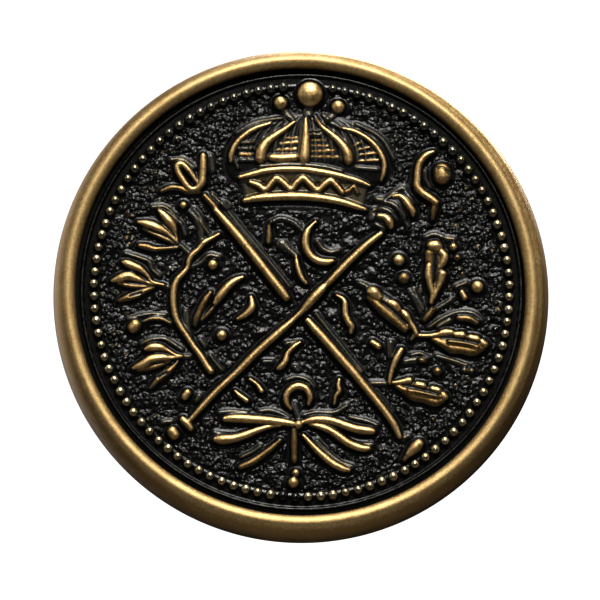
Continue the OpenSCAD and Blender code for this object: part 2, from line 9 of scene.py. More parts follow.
import bpy
import numpy as np
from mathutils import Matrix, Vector

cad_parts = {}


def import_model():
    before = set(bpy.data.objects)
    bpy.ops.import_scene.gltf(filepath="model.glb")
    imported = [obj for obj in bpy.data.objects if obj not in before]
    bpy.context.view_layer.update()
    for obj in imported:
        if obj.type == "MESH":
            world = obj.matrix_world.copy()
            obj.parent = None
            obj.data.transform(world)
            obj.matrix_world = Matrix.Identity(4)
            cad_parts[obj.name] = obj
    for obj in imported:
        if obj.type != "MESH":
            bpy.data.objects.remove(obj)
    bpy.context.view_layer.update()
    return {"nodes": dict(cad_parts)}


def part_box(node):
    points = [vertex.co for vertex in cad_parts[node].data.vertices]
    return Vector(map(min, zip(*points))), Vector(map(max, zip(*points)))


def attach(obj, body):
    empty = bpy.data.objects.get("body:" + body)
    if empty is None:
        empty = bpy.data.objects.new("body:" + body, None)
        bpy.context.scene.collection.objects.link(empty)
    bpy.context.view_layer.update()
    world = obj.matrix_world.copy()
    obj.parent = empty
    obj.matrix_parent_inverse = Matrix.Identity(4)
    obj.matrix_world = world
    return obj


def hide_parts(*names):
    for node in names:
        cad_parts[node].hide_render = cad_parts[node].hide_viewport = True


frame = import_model()

MM = 0.001
rng = np.random.default_rng(7)


# --- the frame's own sizes, in millimetres ---
def box_mm(node):
    lo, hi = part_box(node)
    return np.array(lo) / MM, np.array(hi) / MM


rim_lo, rim_hi = box_mm("rim_ring")
_, plate_hi = box_mm("face_plate")
_, charge_hi = box_mm("left_sprig")
RIM_R = rim_hi[0]
RIM_TOP = -rim_lo[1]
CREST_R = RIM_R - 0.92
LIP_R = RIM_R - 1.4
PLATE_R = plate_hi[0]
PLATE_BACK = -plate_hi[1]
FIELD_Z = -charge_hi[1]
GROUND_R = 13.05
PEARL_RING = 12.5
PEARL_R = 0.33
PEARLS = 104


def world(p):
    """Points drawn face up as points of the frame, in metres."""
    p = np.asarray(p, float)
    return np.stack([p[:, 0], -p[:, 2], p[:, 1]], 1) * MM


def badge_piece(name, points, faces, material, node, floats):
    """One smooth piece of the badge that stands for a CAD node, from points in millimetres and quads."""
    mesh = bpy.data.meshes.new(name)
    co = world(points).astype(np.float32)
    faces = np.asarray(faces, np.int32)
    n, k = faces.shape
    mesh.vertices.add(len(co))
    mesh.vertices.foreach_set("co", co.ravel())
    mesh.loops.add(n * k)
    mesh.loops.foreach_set("vertex_index", faces.ravel())
    mesh.polygons.add(n)
    mesh.polygons.foreach_set("loop_start", np.arange(0, n * k, k, dtype=np.int32))
    mesh.update(calc_edges=True)
    mesh.validate()
    mesh.polygons.foreach_set("use_smooth", np.full(len(mesh.polygons), True))
    for key, values in floats.items():
        layer = mesh.attributes.new(key, "FLOAT", "POINT")
        layer.data.foreach_set("value", np.asarray(values, np.float32))
    mesh.materials.append(material)
    obj = bpy.data.objects.new(name, mesh)
    bpy.context.scene.collection.objects.link(obj)
    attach(obj, "badge")
    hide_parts(node)


def smoothstep(a, b, v):
    t = np.clip((v - a) / (b - a), 0, 1)
    return t * t * (3 - 2 * t)


def soft_max(a, b, k):
    h = np.clip(0.5 + 0.5 * (a - b) / k, 0, 1)
    return b + (a - b) * h + k * h * (1 - h)


def oval(x, y, centre, half):
    """1 in the middle of an oval, 0 on its edge and less than 0 outside."""
    return 1 - ((x - centre[0]) / half[0]) ** 2 - ((y - centre[1]) / half[1]) ** 2


# --- materials ---
class Shader:
    """A Principled material whose inputs are built from small procedural pieces."""

    def __init__(self, name):
        self.material = bpy.data.materials.new(name)
        self.material.use_nodes = True
        self.tree = self.material.node_tree
        self.bsdf = self.tree.nodes["Principled BSDF"]
        self.coords = self.tree.nodes.new("ShaderNodeTexCoord").outputs["Object"]

    def node(self, kind, **settings):
        made = self.tree.nodes.new(kind)
        for key, value in settings.items():
            setattr(made, key, value)
        return made

    def put(self, socket, value):
        if isinstance(value, bpy.types.NodeSocket):
            self.tree.links.new(value, socket)
        else:
            socket.default_value = value

    def noise(self, per_mm, detail=3.0, rough=0.55, vector=None):
        made = self.node("ShaderNodeTexNoise")
        self.put(made.inputs["Vector"], self.coords if vector is None else vector)
        made.inputs["Scale"].default_value = per_mm / MM
        made.inputs["Detail"].default_value = detail
        made.inputs["Roughness"].default_value = rough
        return made.outputs["Fac"]

    def cells(self, per_mm):
        """Distance from the middle of the nearest cell of a loose packing."""
        made = self.node("ShaderNodeTexVoronoi", feature="F1")
        self.put(made.inputs["Vector"], self.coords)
        made.inputs["Scale"].default_value = per_mm / MM
        made.inputs["Randomness"].default_value = 0.85
        return made.outputs["Distance"]

    def attribute(self, name):
        return self.node("ShaderNodeAttribute", attribute_name=name).outputs["Fac"]

    def math(self, op, *values):
        made = self.node("ShaderNodeMath", operation=op)
        for socket, value in zip(made.inputs, values):
            self.put(socket, value)
        return made.outputs[0]

    def sway(self, noise, amount, base):
        """The base moved up and down by a noise that swings about a half."""
        return self.math("MULTIPLY_ADD", self.math("SUBTRACT", noise, 0.5), amount, base)

    def ramp(self, value, low, high, to_low=0.0, to_high=1.0):
        made = self.node("ShaderNodeMapRange", interpolation_type="SMOOTHSTEP")
        self.put(made.inputs["Value"], value)
        made.inputs["From Min"].default_value = low
        made.inputs["From Max"].default_value = high
        made.inputs["To Min"].default_value = to_low
        made.inputs["To Max"].default_value = to_high
        return made.outputs["Result"]

    def blend(self, factor, a, b):
        made = self.node("ShaderNodeMix", data_type="RGBA")
        self.put(made.inputs[0], factor)
        self.put(made.inputs[6], a)
        self.put(made.inputs[7], b)
        return made.outputs[2]

    def color_stops(self, value, stops):
        made = self.node("ShaderNodeValToRGB")
        self.put(made.inputs[0], value)
        elements = made.color_ramp.elements
        while len(elements) < len(stops):
            elements.new(0.5)
        for element, (position, color) in zip(elements, stops):
            element.position = position
            element.color = color
        return made.outputs["Color"]

    def bump(self, height, strength, distance_mm, under=None):
        made = self.node("ShaderNodeBump")
        made.inputs["Strength"].default_value = strength
        made.inputs["Distance"].default_value = distance_mm * MM
        self.put(made.inputs["Height"], height)
        if under is not None:
            self.put(made.inputs["Normal"], under)
        return made.outputs["Normal"]

    def finish(self, color, metallic, roughness, normal=None):
        self.put(self.bsdf.inputs["Base Color"], color)
        self.put(self.bsdf.inputs["Metallic"], metallic)
        self.put(self.bsdf.inputs["Roughness"], roughness)
        if normal is not None:
            self.put(self.bsdf.inputs["Normal"], normal)
        return self.material


GOLD = (0.60, 0.42, 0.20, 1)
DULL_GOLD = (0.42, 0.30, 0.15, 1)
BROWN = (0.28, 0.185, 0.085, 1)
BLACK = (0.0035, 0.0036, 0.0034, 1)
RIM_BROWN = (0.10, 0.048, 0.010, 1)
RIM_BRASS = (0.35, 0.212, 0.074, 1)
RIM_BRIGHT = (0.72, 0.54, 0.275, 1)
CARD_DARK = (0.30, 0.22, 0.14, 1)
CARD_PALE = (0.46, 0.37, 0.26, 1)
FLOOR_WHITE = (0.82, 0.82, 0.81, 1)
FLOOR_SEEN = (0.90, 0.90, 0.89, 1)

# Colours of patinated brass by how far it is rubbed. The same stops also colour the painted shade and painted
# light that some pieces carry.
CHARGE_STOPS = (
    (0.00, BLACK),
    (0.15, BLACK),
    (0.26, (0.120, 0.122, 0.108, 1)),
    (0.42, (0.105, 0.074, 0.034, 1)),
    (0.64, (0.235, 0.148, 0.058, 1)),
    (0.86, (0.450, 0.295, 0.124, 1)),
    (1.00, (0.680, 0.475, 0.225, 1)),
)
PEARL_STOPS = (
    (0.00, BLACK),
    (0.14, BLACK),
    (0.28, (0.120, 0.118, 0.098, 1)),
    (0.55, (0.230, 0.195, 0.120, 1)),
    (1.00, (0.700, 0.580, 0.360, 1)),
)
PEBBLES_PER_MM = 2.8


def worn_brass(name, black_rough=0.30, mottle=1.0, bumpy=0.5, pebbled=False, stops=CHARGE_STOPS):
    """Black patina, grey and then brown where it thins, and rubbed to brass at the top of the scale; on some
    pieces that scale also holds painted light and shade.
    """
    s = Shader(name)
    broad = s.noise(1.3, 3.0)
    fine = s.noise(7.0, 4.0, 0.6)
    grain = s.noise(24.0, 3.0, 0.6)
    tone = s.sway(fine, 0.8 * mottle, s.attribute("wear_and_painted_light"))
    tone = s.sway(broad, 0.35 * mottle, tone)
    under = None
    if pebbled:
        dome = s.ramp(s.cells(PEBBLES_PER_MM), 0.12, 0.62, 1.0, 0.0)
        dome = s.math("MULTIPLY", dome, s.attribute("grain"))
        under = s.bump(dome, 1.0, 0.13)
        tone = s.math("MULTIPLY_ADD", dome, 0.13, tone)
    metallic = s.ramp(tone, 0.12, 0.34, 0.05, 0.96)
    rough = s.math("ADD", s.sway(fine, 0.2, black_rough), s.ramp(tone, 0.2, 0.6, 0.0, 0.12))
    s.bsdf.inputs["Specular IOR Level"].default_value = 0.4
    normal = s.bump(grain, 0.4, 0.012, s.bump(fine, bumpy, 0.03, under))
    return s.finish(s.color_stops(tone, stops), metallic, rough, normal)


def rim_brass(name):
    """Tumbled brass, softly mottled, black inside, and brown low on the outside: partly patina left there and
    partly painted shade.
    """
    s = Shader(name)
    speckle = s.noise(6.5, 5.0, 0.7)
    cloud = s.noise(0.8, 4.0, 0.6)
    fine = s.noise(14.0, 4.0, 0.65)
    tone = s.sway(cloud, 0.5, s.sway(speckle, 1.0, s.attribute("wear_and_painted_light")))
    brass = s.blend(s.ramp(tone, 0.0, 0.6), RIM_BROWN, RIM_BRASS)
    brass = s.blend(s.ramp(tone, 0.6, 1.2, 0.0, 0.8), brass, RIM_BRIGHT)
    inner = s.ramp(s.attribute("inner"), 0.35, 0.65)
    metallic = s.math("MULTIPLY_ADD", inner, -0.85, 0.95)
    normal = s.bump(fine, 0.5, 0.014, s.bump(speckle, 0.6, 0.03))
    return s.finish(s.blend(inner, brass, BLACK), metallic, s.sway(speckle, 0.2, 0.54), normal)


def turned_brass(name, base, dull):
    """Machined brass with fine turning marks round the frame's post axis."""
    s = Shader(name)
    split = s.node("ShaderNodeSeparateXYZ")
    s.put(split.inputs[0], s.coords)
    across = s.math("POWER", split.outputs[0], 2.0)
    squares = s.math("ADD", across, s.math("POWER", split.outputs[2], 2.0))
    merge = s.node("ShaderNodeCombineXYZ")
    s.put(merge.inputs[0], s.math("SQRT", squares))
    s.put(merge.inputs[1], split.outputs[1])
    rings = s.noise(22.0, 3.0, 0.6, merge.outputs[0])
    cloud = s.noise(0.8, 4.0, 0.6)
    fine = s.noise(14.0, 4.0, 0.6)
    color = s.blend(s.ramp(s.sway(cloud, 1.4, 0.55), 0.0, 0.6), BROWN, base)
    color = s.blend(s.ramp(fine, 0.5, 0.8, 0.0, 0.3), color, BROWN)
    normal = s.bump(rings, 0.35, 0.01, s.bump(fine, 0.2, 0.006))
    return s.finish(color, 0.97, s.sway(cloud, 0.3, dull), normal)


def card(name):
    """Pressed fibre card."""
    s = Shader(name)
    fibre = s.noise(5.0, 6.0, 0.7)
    color = s.blend(s.ramp(fibre, 0.3, 0.7), CARD_DARK, CARD_PALE)
    return s.finish(color, 0.0, 0.85, s.bump(fibre, 0.7, 0.05))


def pale_floor(name):
    """A pale floor that the badge hardly mirrors: the camera sees it lit evenly."""
    s = Shader(name)
    clouds = s.ramp(s.noise(0.02, 2.0), 0.3, 0.7)
    greyer = tuple(c * 0.99 for c in FLOOR_WHITE[:3]) + (1,)
    material = s.finish(s.blend(clouds, FLOOR_WHITE, greyer), 0.0, 0.7)
    glow = s.node("ShaderNodeEmission")
    s.put(glow.inputs["Color"], FLOOR_SEEN)
    pick = s.node("ShaderNodeMixShader")
    s.put(pick.inputs[0], s.node("ShaderNodeLightPath").outputs["Is Camera Ray"])
    s.put(pick.inputs[1], s.bsdf.outputs[0])
    s.put(pick.inputs[2], glow.outputs[0])
    s.put(s.tree.nodes["Material Output"].inputs["Surface"], pick.outputs[0])
    return material


mat_rim = rim_brass("rim_brass_tumbled")
mat_charge = worn_brass("charge_brass_worn")
mat_ground = worn_brass("field_patina", 0.29, 0.25, 0.3, pebbled=True)
mat_pearl = worn_brass("pearl_brass_worn", 0.20, 0.4, 0.3, stops=PEARL_STOPS)
mat_fixing = turned_brass("fixing_brass_turned", GOLD, 0.34)
mat_back = turned_brass("back_brass_rolled", DULL_GOLD, 0.42)
mat_card = card("filler_fibre_card")


# --- relief ---
DEEP = -0.4  # height where a relief has no metal
LOWEST = -0.09  # no relief's mesh goes lower
FAR = 9.0  # distance where a relief has no stroke near


def catmull_rom(a, b, c, d, t):
    return 0.5 * (2 * b + (c - a) * t + (2 * a - 5 * b + 4 * c - d) * t**2 + (3 * b - a - 3 * c + d) * t**3)


def dense(stroke, step=0.045):
    """A stroke's [x, y, width] points joined by a smooth curve, or by a straight line if they are two."""
    p = np.array(stroke, float)
    ends = np.vstack([2 * p[0] - p[1], p, 2 * p[-1] - p[-2]])
    out = []
    for i in range(len(p) - 1):
        n = max(2, int(np.hypot(*(p[i + 1] - p[i])[:2]) / step))
        t = np.linspace(0, 1, n, endpoint=False)[:, None]
        out.append(catmull_rom(*ends[i : i + 4], t))
    out.append(p[-1:])
    path = np.vstack(out)
    path[:, 2] = np.maximum(path[:, 2], 0.08)
    return path


class Relief:
    """A height field over the face, on a regular grid in millimetres.

    h is the height, the rubbing grid how far the metal is rubbed, with painted shade in places, and s the
    distance to the nearest stroke's edge.
    """

    def __init__(self, lo, hi, pitch):
        self.x = np.arange(lo[0], hi[0] + pitch, pitch)
        self.y = np.arange(lo[1], hi[1] + pitch, pitch)
        self.h = np.full((len(self.y), len(self.x)), DEEP)
        self.wear_and_painted_light = np.zeros_like(self.h)
        self.s = np.full_like(self.h, FAR)

    def window(self, x0, x1, y0, y1):
        """Slices of the grid that hold a box."""
        columns = slice(*np.searchsorted(self.x, [x0, x1]))
        rows = slice(*np.searchsorted(self.y, [y0, y1]))
        return rows, columns

    def near(self, path, reach=1.0):
        """Signed distance to the edge of a stroke, and its half width there."""
        s = np.full_like(self.h, FAR)
        half = np.full_like(self.h, 0.1)
        for i in range(0, len(path), 6):
            part = path[i : i + 7]
            lo, hi = part.min(0) - reach, part.max(0) + reach
            rows, columns = self.window(lo[0], hi[0], lo[1], hi[1])
            dx = self.x[columns][None, :, None] - part[:, 0]
            dy = self.y[rows][:, None, None] - part[:, 1]
            d = np.sqrt(dx * dx + dy * dy) - part[:, 2] / 2
            if d.size == 0:
                continue
            k = d.argmin(2)
            d = np.take_along_axis(d, k[..., None], 2)[..., 0]
            closer = d < s[rows, columns]
            s[rows, columns][closer] = d[closer]
            half[rows, columns][closer] = part[k, 2][closer] / 2
        return s, half

    def add(self, h, s, wear_and_painted_light, k=0.04):
        self.h = soft_max(self.h, h, k)
        self.wear_and_painted_light = np.maximum(self.wear_and_painted_light, wear_and_painted_light)
        self.s = np.minimum(self.s, s)

    def stroke(self, stroke, rise, level=1.0, skirt=0.12, edge=0.05):
        """A rounded bar with a skirt of metal on each side, rubbed along its top."""
        s, half = self.near(dense(stroke))
        reach = half + skirt
        t = (s + half) / reach
        top = np.sqrt(np.clip(1 - t * t, 0, 1))
        tall = rise * np.clip(reach / 0.34, 0.35, 1.6) ** 0.6
        rub = level * (1.02 - 0.85 * np.clip(t, 0, 1) ** 2) * smoothstep(edge + 0.02, -edge, s)
        self.add(tall * top - np.maximum(t - 1, 0) * 0.4, s, rub)

    def emboss(self, stroke, rise, level):
        """A thin ridge that stands on whatever lies under it."""
        s, half = self.near(dense(stroke), 0.4)
        top = np.sqrt(np.clip(1 - ((s + half) / (half + 0.08)) ** 2, 0, 1))
        self.h = np.where(top > 0, np.maximum(self.h, 0) + rise * top, self.h)
        self.wear_and_painted_light = np.maximum(self.wear_and_painted_light, level * top)
        self.s = np.minimum(self.s, s)

    def ball(self, ball, level=0.92):
        x, y, r, rise = ball
        d = np.hypot(self.x[None, :] - x, self.y[:, None] - y)
        t = d / (r + 0.08)
        h = rise * np.sqrt(np.maximum(1 - np.minimum(t, 1) ** 2, 0)) - np.maximum(t - 1, 0) * 0.5
        self.add(h, d - r, level * smoothstep(r + 0.02, r - 0.14, d), 0.02)

    def groove(self, stroke, depth):
        s, half = self.near(dense(stroke), 0.6)
        cut = np.exp(-(np.maximum(s + half, 0) ** 2) / (half + 0.05) ** 2)
        self.h -= depth * cut
        self.wear_and_painted_light -= 0.6 * cut

    def pad(self, rise, inner, outer):
        """A low ground of solid metal that runs round the strokes."""
        h = rise * smoothstep(outer, inner, self.s)
        h -= 0.35 * smoothstep(outer - 0.05, outer + 0.25, self.s)
        self.h = soft_max(self.h, h, 0.05)

    def blur(self):
        """One pass of a soft 3 by 3 average."""
        h = self.h
        core = h.copy()
        core[1:-1, 1:-1] = (
            4 * h[1:-1, 1:-1]
            + 2 * (h[:-2, 1:-1] + h[2:, 1:-1] + h[1:-1, :-2] + h[1:-1, 2:])
            + h[:-2, :-2] + h[:-2, 2:] + h[2:, :-2] + h[2:, 2:]
        ) / 16
        self.h = core

    def mesh(self, keep):
        """Points and quads of the kept part of the grid, and its points' grid indices."""
        cell = keep[:-1, :-1] | keep[1:, :-1] | keep[:-1, 1:] | keep[1:, 1:]
        index = np.arange(self.h.size).reshape(self.h.shape)
        corners = [index[:-1, :-1], index[:-1, 1:], index[1:, 1:], index[1:, :-1]]
        quads = np.stack([corner[cell] for corner in corners], 1)
        used = np.unique(quads)
        renumber = np.full(self.h.size, -1)
        renumber[used] = np.arange(len(used))
        xx, yy = np.meshgrid(self.x, self.y)
        points = np.stack([xx, yy, FIELD_Z + np.maximum(self.h, LOWEST)], -1).reshape(-1, 3)
        return points[used], renumber[quads], used


# The charges, in millimetres. A stroke is a list of [x, y, width] along its middle, and a ball is
# [x, y, radius, height]. High strokes are rubbed bright, ribs a little less, and dim ones are brown: less
# rubbed, and partly painted shade on the lower halves of petals and leaves. Ridges stay black, a body is a
# low mass under the rest, a crease is cut into it, and dull balls are less rubbed.
CROWN = dict(
    high=[
        [[0.24, 10.5, 0.14], [0.24, 10.0, 0.28], [0.24, 9.4, 0.42], [0.2, 8.7, 0.58], [0.15, 8.1, 0.64],
         [0.12, 7.92, 0.5]],
        [[-0.45, 10.3, 0.14], [-1.0, 9.87, 0.26], [-1.6, 9.45, 0.38], [-2.1, 9.05, 0.52], [-2.42, 8.55, 0.66],
         [-2.5, 8.05, 0.64]],
        [[0.85, 10.45, 0.12], [1.3, 9.95, 0.22], [1.9, 9.45, 0.34], [2.37, 8.98, 0.46], [2.75, 8.4, 0.6],
         [2.82, 7.95, 0.54]],
        [[-1.9, 10.22, 0.12], [-2.8, 9.9, 0.24], [-3.5, 9.45, 0.28], [-4.0, 8.9, 0.3], [-4.25, 8.3, 0.3],
         [-4.28, 7.9, 0.2]],
        [[2.5, 9.93, 0.12], [3.2, 9.74, 0.2], [3.9, 9.35, 0.24], [4.45, 8.85, 0.28], [4.8, 8.3, 0.28],
         [4.98, 7.8, 0.28], [4.95, 7.2, 0.26], [4.8, 6.75, 0.14]],
        [[-3.75, 6.9, 0.18], [-3.0, 7.08, 0.3], [-2.2, 7.28, 0.34], [-1.0, 7.4, 0.36], [0.2, 7.37, 0.36],
         [1.5, 7.17, 0.34], [2.5, 6.95, 0.3], [3.4, 6.7, 0.24], [4.1, 6.42, 0.12]],
        [[-3.1, 6.6, 0.2], [-2.6, 6.4, 0.3], [-2.2, 6.14, 0.34], [-1.8, 6.58, 0.36], [-1.5, 6.82, 0.36],
         [-1.05, 6.5, 0.36], [-0.65, 6.17, 0.34], [-0.3, 6.58, 0.36], [0.08, 6.85, 0.36], [0.5, 6.5, 0.36],
         [0.95, 6.12, 0.34], [1.35, 6.45, 0.36], [1.75, 6.7, 0.34], [2.1, 6.4, 0.3], [2.45, 6.0, 0.26]],
        [[-3.45, 5.47, 0.26], [-2.6, 5.62, 0.42], [-1.5, 5.7, 0.46], [0.0, 5.72, 0.48], [1.3, 5.6, 0.44],
         [2.3, 5.42, 0.4], [3.2, 5.15, 0.34], [3.85, 4.95, 0.16]],
        [[-1.8, 8.1, 0.4], [-1.2, 8.05, 0.54], [-0.42, 8.12, 0.46]]],
    ribs=[
        [[-0.95, 9.33, 0.12], [-0.3, 9.33, 0.16]], [[-1.25, 8.97, 0.18], [-0.3, 9.05, 0.26]],
        [[-1.5, 8.6, 0.16], [-0.4, 8.63, 0.24]],
        [[0.65, 9.2, 0.1], [1.4, 9.2, 0.1]], [[0.65, 8.86, 0.12], [1.6, 8.86, 0.14]],
        [[0.65, 8.52, 0.12], [1.9, 8.55, 0.24]], [[0.62, 8.2, 0.14], [2.15, 8.17, 0.18]],
        [[3.1, 8.85, 0.08], [3.6, 9.1, 0.1]], [[3.3, 8.6, 0.08], [4.1, 8.77, 0.12]],
        [[3.5, 8.3, 0.1], [4.5, 8.42, 0.18]], [[3.4, 7.93, 0.12], [4.6, 7.98, 0.16]]],
    dim=[
        [[2.5, 5.95, 0.22], [2.85, 6.12, 0.2], [3.15, 6.35, 0.2], [3.35, 6.0, 0.14]],
        [[-3.7, 8.3, 0.22], [-3.1, 8.3, 0.24]]],
    ridge=[
        [[0.62, 9.52, 0.1], [1.05, 9.5, 0.1]], [[0.6, 9.76, 0.1], [0.95, 9.76, 0.1]],
        [[-3.75, 8.66, 0.12], [-3.0, 8.66, 0.12]], [[-3.7, 7.95, 0.12], [-3.0, 7.95, 0.12]],
        [[-3.6, 9.0, 0.1], [-2.95, 9.05, 0.1]], [[3.3, 7.5, 0.1], [4.55, 7.42, 0.14]],
        [[-2.5, 7.55, 0.14], [-0.6, 7.66, 0.14], [1.2, 7.55, 0.14], [2.4, 7.28, 0.12]],
        [[-4.12, 8.2, 0.1], [-3.85, 7.5, 0.1]], [[1.3, 10.75, 0.12], [1.8, 10.25, 0.14], [2.4, 9.95, 0.1]],
        [[0.8, 10.7, 0.1], [1.15, 10.2, 0.1]],
        [[3.3, 10.2, 0.1], [4.3, 9.75, 0.12], [4.95, 9.2, 0.12], [5.3, 8.6, 0.12], [5.55, 8.1, 0.1]],
        [[-3.9, 9.65, 0.1], [-3.2, 10.1, 0.12], [-2.4, 10.4, 0.12], [-1.2, 10.55, 0.1]],
        [[0.45, 11.3, 0.5], [0.38, 10.85, 0.4]], [[-1.05, 11.0, 0.3], [-0.6, 10.5, 0.2]],
        [[1.95, 10.85, 0.3], [1.5, 10.4, 0.2]]],
    balls=[[0.5, 12.02, 0.82, 0.62], [-1.28, 11.48, 0.44, 0.44], [2.2, 11.24, 0.44, 0.44]])

LEFT_STAFF = dict(
    high=[
        [[-5.15, 4.85, 0.34], [-4.1, 3.62, 0.5], [-3.0, 2.25, 0.52], [-2.0, 0.95, 0.52], [-1.3, 0.05, 0.52],
         [-0.93, -0.45, 0.44]],
        [[0.38, -1.85, 0.34], [0.8, -2.35, 0.46], [1.6, -3.25, 0.5], [2.5, -4.3, 0.5], [3.2, -5.1, 0.48],
         [3.7, -5.74, 0.46], [4.4, -6.6, 0.44], [5.0, -7.36, 0.42], [5.5, -8.1, 0.4], [5.85, -8.85, 0.28]],
        [[6.4, -9.9, 0.36], [6.75, -9.55, 0.62], [7.0, -9.3, 0.6]],
        [[-5.95, 8.2, 0.34], [-5.95, 7.6, 0.4], [-5.97, 7.0, 0.4], [-6.02, 6.55, 0.42], [-6.28, 6.25, 0.32],
         [-6.6, 6.15, 0.3], [-6.9, 6.35, 0.32], [-7.15, 6.7, 0.34], [-7.45, 7.2, 0.34], [-7.5, 7.62, 0.32],
         [-7.2, 7.68, 0.3], [-6.8, 7.3, 0.28], [-6.5, 6.88, 0.22], [-6.3, 6.55, 0.14]]],
    dim=[
        [[-8.45, 6.05, 0.14], [-7.9, 6.24, 0.26], [-7.3, 6.2, 0.24], [-6.9, 6.02, 0.26], [-6.2, 6.03, 0.22]],
        [[-5.85, 5.75, 0.24], [-5.35, 5.2, 0.3], [-5.15, 4.9, 0.3]],
        [[6.15, -10.25, 0.18], [6.45, -9.85, 0.34]]],
    ridge=[
        [[-5.4, 5.85, 0.12], [-4.7, 5.1, 0.16], [-4.0, 4.25, 0.12], [-3.3, 3.4, 0.1], [-2.0, 1.82, 0.1],
         [-0.75, 0.25, 0.1]],
        [[0.85, -1.4, 0.12], [1.6, -2.38, 0.12], [2.6, -3.62, 0.1], [3.6, -4.88, 0.12]],
        [[4.05, -5.7, 0.1], [4.7, -6.5, 0.12], [5.35, -7.35, 0.1]], [[6.05, -8.98, 0.18], [6.4, -8.8, 0.2]],
        [[-7.9, 7.98, 0.1], [-7.2, 8.0, 0.12], [-6.5, 7.5, 0.1]], [[-5.5, 8.2, 0.2], [-5.42, 7.3, 0.16]],
        [[-4.75, 5.3, 0.3], [-4.5, 5.1, 0.24]]],
    balls=[])

RIGHT_STAFF = dict(
    body_wear=0.1,
    body=[[[4.9, 4.35, 1.1], [5.6, 4.95, 1.6], [6.15, 5.35, 1.2]]],
    high=[
        [[4.75, 3.45, 0.3], [3.94, 2.8, 0.4], [3.0, 1.92, 0.42], [2.3, 1.2, 0.42], [1.75, 0.62, 0.38],
         [1.45, 0.32, 0.28]],
        [[1.42, 0.3, 0.28], [1.15, 0.0, 0.5], [0.7, -0.5, 0.56], [0.35, -0.92, 0.48], [0.05, -1.25, 0.34],
         [-0.4, -1.68, 0.28], [-0.7, -1.98, 0.32], [-1.2, -2.42, 0.42], [-2.0, -3.14, 0.44],
         [-2.8, -3.88, 0.44], [-3.4, -4.5, 0.42], [-4.0, -5.1, 0.36], [-5.1, -6.14, 0.36],
         [-6.0, -7.12, 0.34], [-6.65, -7.85, 0.26]],
        [[-7.12, -7.85, 0.34], [-6.88, -8.1, 0.44], [-6.65, -8.38, 0.36]],
        [[7.95, 8.5, 0.18], [7.55, 8.3, 0.34], [7.2, 7.92, 0.38], [7.02, 7.4, 0.38], [6.98, 6.8, 0.4],
         [6.98, 6.35, 0.44], [7.3, 5.95, 0.42], [7.75, 5.66, 0.42], [8.08, 5.4, 0.4]],
        [[5.5, 5.75, 0.12], [5.9, 5.78, 0.24], [6.2, 5.55, 0.36], [6.45, 5.2, 0.42], [6.68, 4.85, 0.36],
         [6.72, 4.6, 0.2]],
        [[4.6, 4.58, 0.16], [5.0, 4.48, 0.34], [5.26, 4.22, 0.48], [5.38, 3.9, 0.32]],
        [[8.48, 7.28, 1.0], [8.5, 6.98, 1.0]],
        [[-7.74, -8.58, 0.62], [-7.62, -8.78, 0.62]]],
    dim=[[[8.08, 5.35, 0.36], [7.98, 4.85, 0.3], [7.9, 4.4, 0.14]]],
    crease=[[[8.2, 7.45, 0.05], [8.5, 7.5, 0.07], [8.85, 7.2, 0.06]]],
    ridge=[
        [[4.85, 5.42, 0.1], [5.4, 5.3, 0.16], [5.8, 4.97, 0.16], [6.15, 4.5, 0.14], [6.4, 3.95, 0.08]],
        [[4.35, 4.95, 0.1], [4.8, 5.0, 0.14], [5.35, 4.76, 0.14], [5.7, 4.35, 0.1]],
        [[4.55, 5.6, 0.14], [5.0, 5.6, 0.12], [5.55, 6.0, 0.12], [6.1, 6.28, 0.16], [6.32, 6.0, 0.12],
         [6.75, 5.4, 0.1]],
        [[4.25, 4.75, 0.18], [4.22, 4.4, 0.12]], [[4.4, 4.0, 0.14], [4.95, 3.72, 0.14]],
        [[7.45, 7.35, 0.14], [7.5, 6.8, 0.12], [7.75, 6.35, 0.1]],
        [[-8.3, -8.0, 0.1], [-7.8, -7.95, 0.14]]],
    balls=[])

